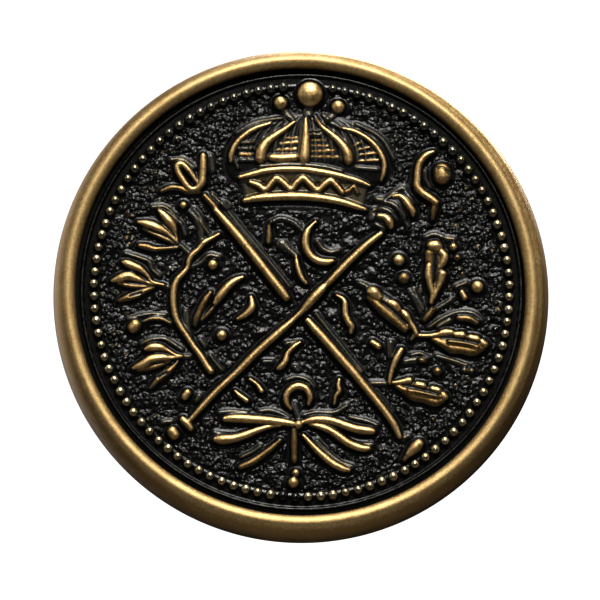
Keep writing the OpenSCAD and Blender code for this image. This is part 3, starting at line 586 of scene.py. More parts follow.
LEFT_SPRIG = dict(
    body_wear=0.36,
    body=[
        [[-9.2, 3.85, 0.5], [-8.5, 3.6, 0.8], [-7.9, 3.25, 0.4]], [[-8.2, 4.3, 0.5], [-7.8, 3.6, 0.4]],
        [[-10.7, 0.6, 0.4], [-10.1, 0.6, 0.7], [-9.3, 0.4, 0.3]],
        [[-9.6, -4.65, 0.4], [-8.9, -4.4, 0.7], [-8.1, -4.2, 0.4]], [[-8.5, -5.3, 0.5], [-8.0, -4.9, 0.4]]],
    high=[
        [[-4.98, 3.42, 0.12], [-5.5, 3.12, 0.22], [-5.9, 2.87, 0.3], [-6.2, 2.5, 0.28], [-6.6, 2.15, 0.3],
         [-6.8, 1.75, 0.28], [-6.88, 1.35, 0.24], [-7.2, 0.95, 0.3], [-7.5, 0.6, 0.34], [-7.68, 0.1, 0.36],
         [-7.72, -0.5, 0.36], [-7.68, -1.1, 0.34], [-7.55, -1.7, 0.34], [-7.3, -2.2, 0.32],
         [-6.9, -2.8, 0.3], [-6.5, -3.4, 0.3], [-6.1, -3.95, 0.34], [-5.7, -4.6, 0.36], [-5.45, -4.92, 0.38]],
        [[-8.6, 4.85, 0.12], [-8.35, 4.6, 0.38], [-8.0, 4.2, 0.54], [-7.75, 3.85, 0.4], [-7.6, 3.4, 0.16],
         [-7.5, 3.0, 0.1]],
        [[-9.85, 4.15, 0.14], [-9.3, 4.0, 0.46], [-8.8, 3.8, 0.56], [-8.3, 3.58, 0.36], [-7.9, 3.3, 0.18],
         [-7.5, 2.9, 0.12]],
        [[-10.75, 1.7, 0.16], [-10.5, 1.6, 0.42], [-10.15, 1.45, 0.46], [-9.7, 1.25, 0.36],
         [-9.3, 0.9, 0.2], [-9.0, 0.5, 0.14], [-8.3, 0.3, 0.1]],
        [[-11.4, 0.55, 0.16], [-10.9, 0.7, 0.48], [-10.4, 0.82, 0.56], [-9.9, 0.65, 0.4], [-9.4, 0.45, 0.18],
         [-8.8, 0.35, 0.1]],
        [[-9.35, -3.6, 0.2], [-9.0, -3.5, 0.46], [-8.5, -3.5, 0.42], [-8.1, -3.65, 0.2], [-7.6, -3.92, 0.12],
         [-7.2, -4.03, 0.1]],
        [[-10.1, -4.75, 0.16], [-9.6, -4.55, 0.44], [-9.0, -4.24, 0.58], [-8.4, -4.15, 0.5],
         [-7.9, -4.12, 0.2], [-7.3, -4.06, 0.1]],
        [[-3.55, 0.8, 0.14], [-4.05, 0.55, 0.36], [-4.5, 0.15, 0.48], [-4.9, -0.35, 0.48],
         [-5.2, -0.8, 0.28]],
        [[-3.05, -0.4, 0.14], [-2.98, -0.85, 0.34], [-3.05, -1.15, 0.42], [-3.4, -1.5, 0.34],
         [-3.85, -1.75, 0.14]],
        [[-10.0, -2.16, 0.72], [-10.12, -2.3, 0.68]], [[-6.85, -6.25, 0.44], [-7.0, -6.48, 0.4]]],
    dim=[
        [[-9.5, 3.72, 0.14], [-8.9, 3.46, 0.22], [-8.2, 3.12, 0.2], [-7.6, 2.8, 0.12]],
        [[-9.75, 2.7, 0.2], [-9.3, 2.62, 0.32], [-8.9, 2.5, 0.26], [-8.3, 2.53, 0.16], [-7.5, 2.6, 0.12]],
        [[-11.0, 0.4, 0.14], [-10.2, 0.24, 0.22], [-9.4, 0.24, 0.18], [-8.9, 0.28, 0.1]],
        [[-10.95, -0.65, 0.14], [-10.4, -0.45, 0.38], [-9.9, -0.28, 0.38], [-9.4, -0.05, 0.24],
         [-8.9, 0.15, 0.12]],
        [[-9.8, -4.86, 0.14], [-9.1, -4.74, 0.24], [-8.4, -4.52, 0.2], [-7.9, -4.3, 0.12]],
        [[-9.05, -5.95, 0.1], [-8.75, -5.6, 0.24], [-8.4, -5.22, 0.34], [-8.0, -4.95, 0.32],
         [-7.65, -4.6, 0.16], [-7.45, -4.35, 0.08]],
        [[-5.5, -0.15, 0.16], [-5.8, -0.6, 0.3], [-6.05, -1.1, 0.32], [-6.3, -1.7, 0.32], [-6.4, -2.1, 0.18]],
        [[-5.25, -0.95, 0.12], [-5.6, -1.4, 0.18], [-6.0, -1.8, 0.14]],
        [[-9.5, -1.9, 0.1], [-9.0, -1.74, 0.14], [-8.4, -1.77, 0.14], [-7.9, -2.0, 0.12]]],
    crease=[
        [[-9.0, -4.48, 0.04], [-8.3, -4.34, 0.04]], [[-8.6, -5.28, 0.06], [-8.15, -5.05, 0.06]],
        [[-10.3, -0.38, 0.05], [-9.7, -0.2, 0.05]], [[-9.2, 3.68, 0.03], [-8.2, 3.3, 0.03]],
        [[-10.6, 0.5, 0.03], [-9.4, 0.36, 0.03]]],
    ridge=[
        [[-7.35, 2.8, 0.12], [-6.95, 2.42, 0.12], [-6.7, 2.2, 0.14]], [[-8.6, 0.3, 0.1], [-7.95, 0.2, 0.1]],
        [[-7.2, -4.04, 0.12], [-6.7, -4.0, 0.1]],
        [[-6.75, 4.8, 0.12], [-6.4, 4.4, 0.18], [-6.12, 3.8, 0.2], [-6.03, 3.1, 0.16]],
        [[-6.5, 4.95, 0.1], [-6.15, 4.5, 0.12], [-5.9, 3.9, 0.1], [-5.6, 3.45, 0.1]],
        [[-9.0, 5.08, 0.08], [-8.35, 5.1, 0.1], [-7.9, 4.8, 0.1], [-7.5, 4.3, 0.1], [-7.2, 3.95, 0.12],
         [-7.05, 3.4, 0.1]],
        [[-10.6, 2.25, 0.1], [-9.9, 2.02, 0.12], [-9.2, 1.75, 0.1], [-9.02, 1.3, 0.1], [-8.6, 0.9, 0.1]],
        [[-6.7, 1.4, 0.1], [-6.05, 1.72, 0.12], [-5.6, 2.12, 0.14], [-5.0, 2.05, 0.12]],
        [[-9.6, -3.25, 0.08], [-9.0, -3.0, 0.1], [-8.3, -2.95, 0.12], [-7.8, -3.2, 0.12], [-7.2, -3.6, 0.12]],
        [[-10.4, -1.72, 0.08], [-9.2, -1.45, 0.08], [-8.2, -1.5, 0.08]],
        [[-6.98, -1.25, 0.14], [-6.95, -1.7, 0.2], [-6.9, -2.2, 0.2], [-6.75, -2.7, 0.12]],
        [[-6.1, -3.0, 0.14], [-5.85, -3.35, 0.16]],
        [[-5.5, -3.95, 0.1], [-5.05, -4.55, 0.1], [-4.8, -4.8, 0.1]],
        [[-6.3, -6.7, 0.14], [-6.15, -6.4, 0.16]]],
    balls=[[-7.13, 5.18, 0.25, 0.34], [-5.35, 1.54, 0.34, 0.42], [-4.8, -2.75, 0.35, 0.42]])

RIGHT_SPRIG = dict(
    body_wear=0.5,
    body=[
        [[4.2, -0.15, 0.6], [5.0, -0.85, 1.0], [5.7, -1.45, 0.8], [6.4, -2.15, 0.4]],
        [[8.2, -2.85, 0.5], [9.1, -3.1, 1.0], [10.0, -3.25, 1.0], [10.8, -3.3, 0.6]],
        [[8.05, 2.5, 0.8], [8.05, 1.6, 1.0], [8.0, 0.8, 0.7], [7.9, 0.1, 0.3]],
        [[5.9, -5.75, 0.4], [6.8, -6.05, 0.9], [7.7, -6.35, 0.9], [8.4, -6.5, 0.5]]],
    high=[
        [[4.1, -0.02, 0.4], [4.33, -0.14, 0.7], [4.62, -0.4, 0.46]],
        [[5.3, -0.75, 0.36], [5.55, -0.9, 0.56], [5.8, -1.12, 0.36]],
        [[6.1, -1.3, 0.26], [6.27, -1.55, 0.44], [6.45, -1.85, 0.3], [6.7, -2.2, 0.26], [6.88, -2.6, 0.24]],
        [[7.82, 2.74, 0.56], [8.1, 2.72, 0.66], [8.28, 2.62, 0.4]],
        [[8.42, 2.36, 0.36], [8.6, 2.1, 0.44], [8.52, 1.72, 0.4], [8.3, 1.45, 0.24]],
        [[7.65, 1.5, 0.36], [7.63, 0.9, 0.42], [7.76, 0.25, 0.34], [7.88, -0.25, 0.28], [7.8, -0.72, 0.2]],
        [[8.48, 1.0, 0.48], [8.35, 0.5, 0.34], [8.13, -0.02, 0.24], [7.96, -0.42, 0.2]],
        [[7.0, -2.72, 0.14], [7.6, -2.74, 0.18], [8.1, -2.68, 0.24], [8.6, -2.56, 0.42], [8.98, -2.55, 0.34]],
        [[9.3, -2.7, 0.4], [9.62, -2.72, 0.5]], [[10.15, -2.9, 0.46], [10.5, -2.98, 0.52]],
        [[10.85, -3.16, 0.46], [10.98, -3.26, 0.44]],
        [[5.5, -5.6, 0.14], [6.0, -5.54, 0.26], [6.45, -5.46, 0.38]],
        [[6.95, -5.74, 0.42], [7.25, -5.8, 0.46]],
        [[7.85, -6.0, 0.42], [8.15, -6.1, 0.48]], [[8.48, -6.36, 0.42], [8.58, -6.46, 0.4]],
        [[5.98, -3.6, 0.26], [5.7, -4.1, 0.36], [5.45, -4.75, 0.28], [5.3, -5.3, 0.22], [5.28, -5.6, 0.18]],
        [[4.25, -3.15, 0.3], [4.6, -3.4, 0.36]], [[9.65, -0.1, 0.3], [9.8, -0.42, 0.34]]],
    dim=[
        [[4.12, -0.45, 0.4], [4.85, -1.15, 0.6], [5.6, -1.8, 0.54], [6.2, -2.35, 0.36]],
        [[7.66, 2.3, 0.4], [7.66, 1.85, 0.4]], [[7.85, -1.2, 0.32], [7.6, -1.5, 0.3], [7.4, -1.75, 0.2]],
        [[7.9, -2.95, 0.2], [8.5, -3.22, 0.46], [9.02, -3.5, 0.6], [9.6, -3.56, 0.5], [10.27, -3.66, 0.6],
         [10.85, -3.45, 0.4]],
        [[5.7, -5.8, 0.2], [6.3, -6.12, 0.48], [6.76, -6.42, 0.6], [7.3, -6.54, 0.5], [7.95, -6.74, 0.56],
         [8.4, -6.64, 0.38]],
        [[9.45, -1.66, 0.26], [10.04, -1.7, 0.32], [10.5, -1.94, 0.24]],
        [[6.75, -2.75, 0.2], [6.6, -2.95, 0.16]], [[7.15, -4.25, 0.24], [7.4, -4.3, 0.22]]],
    crease=[
        [[4.8, -0.72, 0.08], [5.6, -1.3, 0.1], [6.35, -1.98, 0.08]],
        [[8.4, -2.86, 0.08], [9.5, -2.96, 0.1], [10.65, -3.18, 0.08]],
        [[8.05, 2.15, 0.14], [8.02, 1.3, 0.14], [7.98, 0.5, 0.1]],
        [[6.1, -5.76, 0.08], [7.1, -5.98, 0.1], [8.25, -6.3, 0.08]]],
    ridge=[
        [[8.85, -3.12, 0.16], [9.7, -3.22, 0.18], [10.55, -3.42, 0.14]],
        [[6.42, -6.08, 0.14], [7.4, -6.28, 0.18], [8.17, -6.44, 0.14]],
        [[4.2, -5.62, 0.14], [5.3, -5.62, 0.14]], [[3.5, 0.48, 0.1], [3.85, 0.3, 0.14], [4.1, 0.1, 0.14]],
        [[7.67, -2.2, 0.1], [8.46, -1.68, 0.12], [9.4, -1.3, 0.12], [10.27, -1.34, 0.12], [10.8, -1.75, 0.1]],
        [[8.23, -2.16, 0.14], [8.9, -1.78, 0.2]], [[8.0, -1.17, 0.1], [8.97, -0.55, 0.1]],
        [[6.53, -0.04, 0.1], [6.85, -0.6, 0.12], [7.16, -1.29, 0.1]], [[6.75, 0.05, 0.08], [7.3, -1.1, 0.08]],
        [[5.35, -3.15, 0.22], [5.3, -3.5, 0.18], [5.3, -3.95, 0.12]],
        [[6.2, -4.3, 0.14], [6.7, -4.22, 0.22], [7.25, -4.22, 0.3]],
        [[8.12, -3.95, 0.1], [9.0, -4.2, 0.12], [9.9, -4.52, 0.12]],
        [[6.6, -3.9, 0.08], [7.1, -3.8, 0.1], [7.6, -4.05, 0.08]], [[9.3, 0.25, 0.08], [9.9, 0.5, 0.1]],
        [[7.5, 3.3, 0.12], [8.0, 3.45, 0.14], [8.5, 3.3, 0.12]], [[8.75, 3.2, 0.2], [9.15, 3.15, 0.18]]],
    balls=[[5.85, 1.85, 0.38, 0.44], [10.58, 0.24, 0.4, 0.44], [9.14, 2.68, 0.26, 0.36]],
    dull=[[6.15, 0.76, 0.36, 0.36], [8.15, -4.9, 0.27, 0.34], [9.76, -4.82, 0.16, 0.26],
          [10.2, -4.86, 0.18, 0.26], [9.38, 2.02, 0.22, 0.32]])

SCROLL = dict(
    high=[
        [[0.85, 4.2, 0.1], [0.5, 3.85, 0.2], [0.3, 3.5, 0.36], [0.22, 3.0, 0.42], [0.3, 2.5, 0.42],
         [0.6, 2.05, 0.42], [1.0, 1.8, 0.42], [1.5, 1.72, 0.38], [1.85, 1.8, 0.2]],
        [[-0.35, 2.1, 0.1], [-0.28, 1.6, 0.22], [-0.18, 1.2, 0.26], [0.0, 0.75, 0.26], [0.26, 0.44, 0.16]],
        [[2.1, -0.3, 0.1], [2.45, -0.5, 0.2], [2.6, -0.8, 0.3], [2.62, -1.4, 0.34], [2.8, -1.9, 0.38],
         [3.0, -2.2, 0.34], [2.95, -2.55, 0.2]],
        [[-0.1, -3.15, 0.1], [-0.5, -3.45, 0.24], [-0.85, -3.85, 0.26], [-0.98, -4.3, 0.34],
         [-1.22, -4.62, 0.34], [-1.42, -4.75, 0.2]]],
    dim=[[[-2.0, 2.95, 0.24], [-1.97, 3.4, 0.24], [-1.97, 3.9, 0.16], [-1.85, 4.15, 0.1]]],
    ridge=[
        [[-1.85, 4.15, 0.12], [-1.4, 4.4, 0.12], [-0.9, 4.35, 0.12], [-0.4, 4.1, 0.12], [0.0, 3.7, 0.12]],
        [[0.95, 3.0, 0.16], [1.2, 2.62, 0.18], [1.7, 2.35, 0.14], [2.2, 2.45, 0.1]],
        [[-1.2, 2.85, 0.5], [-0.8, 2.5, 0.3], [-0.35, 2.15, 0.16]],
        [[-0.9, -3.22, 0.16], [-0.35, -3.12, 0.12]], [[-2.3, -4.3, 0.12], [-1.8, -4.3, 0.12]],
        [[-0.4, -4.65, 0.12], [-0.25, -4.85, 0.12]]],
    balls=[])

BOW = dict(
    high=[
        [[0.42, -6.9, 0.16], [0.5, -6.45, 0.34], [0.25, -5.98, 0.38], [-0.2, -5.82, 0.4], [-0.65, -6.0, 0.38],
         [-0.92, -6.4, 0.36], [-0.9, -6.85, 0.28], [-0.65, -7.2, 0.14]],
        [[-4.6, -7.82, 0.3], [-4.0, -7.78, 0.48], [-3.0, -7.83, 0.5], [-2.0, -7.9, 0.46],
         [-1.0, -8.02, 0.38], [-0.3, -8.15, 0.26]],
        [[-5.15, -9.05, 0.32], [-4.75, -9.06, 0.56], [-4.0, -8.98, 0.48], [-3.2, -8.72, 0.42],
         [-2.5, -8.44, 0.32], [-1.8, -8.25, 0.2], [-1.3, -8.2, 0.12]],
        [[0.05, -8.0, 0.18], [0.6, -7.87, 0.36], [1.2, -7.84, 0.42], [1.9, -7.95, 0.44], [2.6, -8.2, 0.46],
         [3.3, -8.42, 0.46], [3.95, -8.5, 0.46], [4.25, -8.54, 0.34]],
        [[0.5, -8.12, 0.16], [1.2, -8.3, 0.34], [1.8, -8.56, 0.4], [2.35, -8.95, 0.44], [2.9, -9.32, 0.44],
         [3.6, -9.57, 0.4], [4.0, -9.58, 0.26]],
        [[0.1, -8.8, 0.18], [0.6, -9.35, 0.3], [1.2, -9.95, 0.38], [1.8, -10.45, 0.42], [2.4, -10.78, 0.38],
         [2.8, -10.88, 0.22]],
        [[-4.0, -6.12, 0.1], [-3.7, -6.4, 0.22], [-3.3, -6.7, 0.26]],
        [[-3.1, -5.4, 0.12], [-2.7, -5.7, 0.16], [-2.4, -6.12, 0.26]],
        [[2.25, -5.4, 0.14], [2.2, -5.8, 0.22], [2.25, -6.12, 0.24], [2.05, -6.4, 0.18], [1.95, -6.9, 0.1]]],
    dim=[
        [[-3.65, -10.7, 0.26], [-3.0, -10.42, 0.34], [-2.4, -10.02, 0.32], [-1.8, -9.55, 0.28],
         [-1.3, -9.1, 0.18]],
        [[-0.45, -8.5, 0.28], [-0.45, -9.3, 0.32], [-0.44, -10.3, 0.28]]],
    ridge=[
        [[-0.42, -6.9, 0.14], [-0.32, -7.4, 0.18], [-0.12, -7.9, 0.14]],
        [[-4.9, -7.4, 0.14], [-4.2, -7.35, 0.14], [-3.3, -7.4, 0.12]],
        [[-2.5, -7.32, 0.14], [-1.9, -7.28, 0.16], [-1.3, -7.45, 0.12], [-0.8, -7.7, 0.1]],
        [[0.1, -7.55, 0.1], [0.9, -7.38, 0.12], [1.7, -7.42, 0.18], [2.2, -7.3, 0.14], [2.7, -6.98, 0.1]],
        [[2.9, -7.68, 0.1], [3.8, -7.88, 0.14], [4.5, -8.15, 0.1]],
        [[1.3, -8.1, 0.08], [2.0, -8.4, 0.1], [2.7, -9.0, 0.1], [3.4, -9.25, 0.1], [4.2, -9.3, 0.12]],
        [[0.9, -9.1, 0.08], [1.6, -9.8, 0.1], [2.3, -10.35, 0.1], [3.0, -10.65, 0.12]],
        [[-5.2, -8.62, 0.12], [-4.6, -8.74, 0.16], [-3.9, -8.72, 0.14], [-3.2, -8.5, 0.1]],
        [[-3.6, -10.1, 0.08], [-2.9, -9.75, 0.1], [-2.5, -9.45, 0.08]],
        [[-0.9, -5.42, 0.1], [-0.3, -5.25, 0.12], [0.3, -5.42, 0.1], [0.7, -5.8, 0.08]]],
    balls=[[-0.2, -8.15, 0.3, 0.46], [-0.36, -11.06, 0.26, 0.36], [-0.5, -11.64, 0.36, 0.42]])

CHARGES = {
    "crown": (CROWN, 0.36),
    "left_staff": (LEFT_STAFF, 0.42),
    "right_staff": (RIGHT_STAFF, 0.46),
    "left_sprig": (LEFT_SPRIG, 0.42),
    "right_sprig": (RIGHT_SPRIG, 0.42),
    "ribbon_scroll": (SCROLL, 0.42),
    "ribbon_bow": (BOW, 0.42),
}
CHARGE_PITCH = 0.042
CHARGE_MARGIN = 0.7
CHARGE_CUT = -0.06
DOME_CENTRE = (0.35, 8.0)
DOME_HALF = (5.0, 2.9)
FOLD_RATE = 62  # radians from the dome's middle to its side: ten folds


def shape_crown(relief):
    """The crown's dome with its folds, and the band that its two rails bound."""
    xx, yy = np.meshgrid(relief.x, relief.y)
    body = oval(xx, yy, DOME_CENTRE, DOME_HALF)
    dome = 0.24 * np.sqrt(np.clip(body, 0, 1)) - 0.6 * np.clip(-body, 0, 1)
    rail_top = 7.37 - np.where(xx < 0.2, 0.032, 0.062) * (xx - 0.2) ** 2
    rail_foot = 5.65 - np.where(xx < 0.0, 0.021, 0.052) * xx**2
    ends = np.abs(xx - 0.2) - (3.55 + 0.22 * (yy - 5.4))
    outside = np.maximum(np.maximum(yy - rail_top, rail_foot - yy), ends)
    band = 0.14 * smoothstep(0.12, -0.05, outside) - 0.05
    relief.h = soft_max(np.where(yy > 6.6, dome, DEEP), np.where(yy < 7.6, band, DEEP), 0.05)
    relief.s = np.where((body > 0.02) & (yy > 5.4), 0.1, FAR)
    half_width = DOME_HALF[0] * np.sqrt(np.clip(1 - ((yy - DOME_CENTRE[1]) / 2.95) ** 2, 0.02, 1))
    across = (xx - DOME_CENTRE[0]) / half_width
    fold = (0.5 + 0.5 * np.cos(across * FOLD_RATE)) ** 2
    fold *= smoothstep(7.7, 8.1, yy) * smoothstep(0.0, 0.1, body)
    relief.h += 0.06 * fold
    relief.wear_and_painted_light = np.maximum(relief.wear_and_painted_light, fold * (0.26 + 0.12 * smoothstep(0.2, 0.6, body)))
    relief.wear_and_painted_light = np.maximum(relief.wear_and_painted_light, 0.34 * smoothstep(0.0, 0.08, band) * (yy < 7.3))


def build_charge(node, drawing, rise):
    lo, hi = box_mm(node)
    corner = (lo[0] - CHARGE_MARGIN, lo[2] - CHARGE_MARGIN)
    relief = Relief(corner, (hi[0] + CHARGE_MARGIN, hi[2] + CHARGE_MARGIN), CHARGE_PITCH)
    lift = 0.0
    if node == "crown":
        shape_crown(relief)
        lift = 0.12
    body_rise = rise * (0.5 if node == "right_staff" else 0.62)
    for stroke in drawing.get("body", []):
        relief.stroke(stroke, body_rise, drawing["body_wear"], 0.1)
    for stroke in drawing.get("dim", []):
        # Dim strokes are brown: less rubbed, and partly painted shade on the lower halves of petals and
        # leaves.
        relief.stroke(stroke, rise * 0.85, 0.66, 0.12)
    for stroke in drawing.get("ribs", []):
        relief.stroke(stroke, rise * 0.75 + lift, 0.85, 0.07)
    for stroke in drawing["ridge"]:
        relief.emboss(stroke, 0.17, 0.34)
    for stroke in drawing["high"]:
        relief.stroke(stroke, rise + lift * 0.6)
    for ball in drawing["balls"]:
        relief.ball(ball)
    for ball in drawing.get("dull", []):
        relief.ball(ball, 0.6)
    for stroke in drawing.get("crease", []):
        relief.groove(stroke, 0.09)
    relief.pad(0.04, 0.08, 0.3)
    relief.blur()
    points, quads, used = relief.mesh(relief.h > CHARGE_CUT)
    floats = {"wear_and_painted_light": relief.wear_and_painted_light.ravel()[used]}
    badge_piece(node + "_relief", points, quads, mat_charge, node, floats)


for charge, (drawing, rise) in CHARGES.items():
    build_charge(charge, drawing, rise)


# --- the pebbled ground ---
GROUND_PITCH = 0.0755
GROUND_EDGE = 0.06
PEBBLE_STEP = 0.285
ROW_STEP = 0.87 * PEBBLE_STEP
PEBBLE_LIMIT = 12.3
PEBBLE_REACH = 0.22
WAVES = 24
CROWN_CENTRE = (0.35, 7.9)
CROWN_HALF = (5.1, 3.0)


def measure_charges(ground):
    """Fills in how far each point of the ground lies from the charges."""
    for drawing, _rise in CHARGES.values():
        for group in ("body", "high", "ribs", "dim", "ridge"):
            inset = 0.14 if group == "ridge" else 0.0
            for stroke in drawing.get(group, []):
                distance, _half = ground.near(dense(stroke, 0.12), 1.2)
                ground.s = np.minimum(ground.s, distance + inset)
        for x, y, r, _height in drawing["balls"]:
            distance = np.hypot(ground.x[None, :] - x, ground.y[:, None] - y) - r
            ground.s = np.minimum(ground.s, distance)


def strike_pebbles(ground, gx, gy):
    """Heights and rubbing of oval pebbles in loose rows over the whole ground."""
    pebbles = np.zeros_like(ground.h)
    tint = np.zeros_like(ground.h)
    for j in range(int(2 * GROUND_R / ROW_STEP)):
        for i in range(int(2 * GROUND_R / PEBBLE_STEP)):
            cx = -GROUND_R + (i + 0.5 * (j % 2)) * PEBBLE_STEP + rng.uniform(-0.09, 0.09)
            cy = -GROUND_R + j * ROW_STEP + rng.uniform(-0.09, 0.09)
            if cx * cx + cy * cy > PEBBLE_LIMIT**2:
                continue
            rx = rng.uniform(0.12, 0.19)
            ry = rng.uniform(0.09, 0.14)
            turn = rng.uniform(-0.9, 0.9)
            tall = rng.uniform(0.08, 0.17)
            shine = rng.random()
            near = ground.window(cx - PEBBLE_REACH, cx + PEBBLE_REACH, cy - PEBBLE_REACH, cy + PEBBLE_REACH)
            dx = gx[near] - cx
            dy = gy[near] - cy
            u = (dx * math.cos(turn) + dy * math.sin(turn)) / rx
            v = (dy * math.cos(turn) - dx * math.sin(turn)) / ry
            bump = tall * np.sqrt(np.clip(1 - u * u - v * v, 0, 1))
            pebbles[near] = np.maximum(pebbles[near], bump)
            brassy = shine > 0.93 and abs(cx) > 7.0
            rub = 0.22 * shine + (0.3 if brassy else 0.0)
            tint[near] = np.maximum(tint[near], rub * smoothstep(0.3, 0.9, bump / tall))
    return pebbles, tint


def long_waves(gx, gy):
    """A faint unevenness of the struck sheet."""
    lengths = rng.uniform(3.0, 8.0, WAVES)
    turns = rng.uniform(0, 2 * math.pi, WAVES)
    starts = rng.uniform(0, 6.28, WAVES)
    return sum(
        np.sin(gx * length * math.cos(turn) + gy * length * math.sin(turn) + start)
        for length, turn, start in zip(lengths, turns, starts)
    )


def build_ground():
    ground = Relief((-GROUND_R, -GROUND_R), (GROUND_R, GROUND_R), GROUND_PITCH)
    measure_charges(ground)
    gx, gy = np.meshgrid(ground.x, ground.y)
    radius = np.hypot(gx, gy)
    off_crown = smoothstep(0.0, -0.15, oval(gx, gy, CROWN_CENTRE, CROWN_HALF))
    moat_and_painted_shade = smoothstep(0.34, 0.12, ground.s)
    clear = smoothstep(0.16, 0.45, ground.s) * off_crown * smoothstep(12.15, 12.0, radius)
    amount = clear * (0.35 + 0.65 * smoothstep(3.0, 8.5, radius))
    pebbles, tint = strike_pebbles(ground, gx, gy)
    ground.h = 0.55 * pebbles * amount - 0.02 * clear
    ground.h += 0.008 * long_waves(gx, gy) * smoothstep(12.3, 11.9, radius) * clear
    ground.h -= 0.05 * moat_and_painted_shade * smoothstep(12.1, 11.8, radius)
    # Painted shade: the ground is darkened to black in a ring round the foot of each charge, as well as sunk
    # there.
    wear_and_painted_light = tint * amount - 0.3 * moat_and_painted_shade
    grain = smoothstep(0.16, 0.4, ground.s) * off_crown * smoothstep(12.2, 12.0, radius)
    grain *= 0.5 + 0.5 * smoothstep(3.0, 8.0, radius)
    points, quads, used = ground.mesh(radius < GROUND_R - GROUND_EDGE)
    floats = {"wear_and_painted_light": wear_and_painted_light.ravel()[used], "grain": grain.ravel()[used]}
    badge_piece("face_ground", points, quads, mat_ground, "face_plate", floats)


build_ground()


# --- turned pieces ---
def lathe(profile, steps):
    """Points and quads of an open profile of [radius, z] turned about the face's axis."""
    profile = np.asarray(profile, float)
    a = np.linspace(0, 2 * math.pi, steps, endpoint=False)[:, None]
    x = np.cos(a) * profile[:, 0]
    y = np.sin(a) * profile[:, 0]
    points = np.stack([x, y, np.broadcast_to(profile[:, 1], x.shape)], -1).reshape(-1, 3)
    n = len(profile)
    i, k = np.meshgrid(np.arange(steps), np.arange(n - 1), indexing="ij")
    j = (i + 1) % steps
    quads = np.stack([i * n + k, j * n + k, j * n + k + 1, i * n + k + 1], -1).reshape(-1, 4)
    return points, quads


def arc(cx, cy, rx, ry, a0, a1, n):
    a = np.radians(np.linspace(a0, a1, n))
    return np.stack([cx + rx * np.cos(a), cy + ry * np.sin(a)], 1)


RIM_STEPS = 512
WAIST_R = 0.8
WAIST_Z = 1.0
LIP_RISE = 0.5
THICK_AT = 0.45  # radians from x towards y
THICK_BY = 0.22


def build_rim():
    """Rear lip, rounded waist, bead, inner lip and the wall that holds the plates."""
    profile = np.vstack([
        [[12.9, 0.0], [13.2, 0.0], [13.8, 0.0]],
        arc(RIM_R - WAIST_R, WAIST_Z, WAIST_R, WAIST_Z, -90, 0, 12),
        arc(CREST_R, WAIST_Z, RIM_R - CREST_R, RIM_TOP - WAIST_Z, 5, 90, 30),
        arc(CREST_R, RIM_TOP - LIP_RISE, CREST_R - LIP_R, LIP_RISE, 95, 180, 12),
        [[LIP_R, FIELD_Z + 0.2], [LIP_R, FIELD_Z]],
    ])
    points, quads = lathe(profile, RIM_STEPS)
    level = profile[:, 1]
    # Rubbed brightest on the crest, and darker brown low on the outside of the bead all round: partly patina,
    # partly painted shade.
    wear_and_painted_light = 0.2 + 0.5 * smoothstep(1.6, 3.3, level) + 0.3 * smoothstep(3.4, 3.9, level)
    past_crest = np.arange(len(profile)) > np.argmax(level)
    inner = np.where(past_crest, smoothstep(RIM_TOP - 0.28, RIM_TOP - 0.52, level), 0.0)
    turn = np.arctan2(points[:, 1], points[:, 0])
    on_lip = np.tile(past_crest | (level > RIM_TOP - 0.25), RIM_STEPS)
    thick = THICK_BY * smoothstep(1.3, 0.1, np.abs(turn - THICK_AT)) * on_lip
    points[:, :2] *= (1 - thick / CREST_R)[:, None]
    floats = {"wear_and_painted_light": np.tile(wear_and_painted_light, RIM_STEPS), "inner": np.tile(inner, RIM_STEPS)}
    badge_piece("rim_bead", points, quads, mat_rim, "rim_ring", floats)


LEDGE_STEPS = 480
LEDGE_R = 13.22


def build_ledge():
    """Ledge, channel, edge and back of the face plate."""
    channel_z = FIELD_Z - 0.02
    profile = np.vstack([
        [[GROUND_R - 0.15, FIELD_Z - 0.03], [GROUND_R - 0.02, FIELD_Z]],
        arc(LEDGE_R, FIELD_Z + 0.02, 0.1, 0.13, 180, 0, 9),
        [[13.4, channel_z], [13.7, channel_z], [PLATE_R, channel_z], [PLATE_R, PLATE_BACK],
         [0.02, PLATE_BACK]],
    ])
    points, quads = lathe(profile, LEDGE_STEPS)
    wear_and_painted_light = np.where(np.abs(profile[:, 0] - LEDGE_R) < 0.06, 0.18, 0.0)
    floats = {"wear_and_painted_light": np.tile(wear_and_painted_light, LEDGE_STEPS)}
    badge_piece("face_ledge", points, quads, mat_ground, "face_plate", floats)


CROWN_BALL = (0.5, 12.05, 0.8)
PEARL_Z = FIELD_Z + 0.105


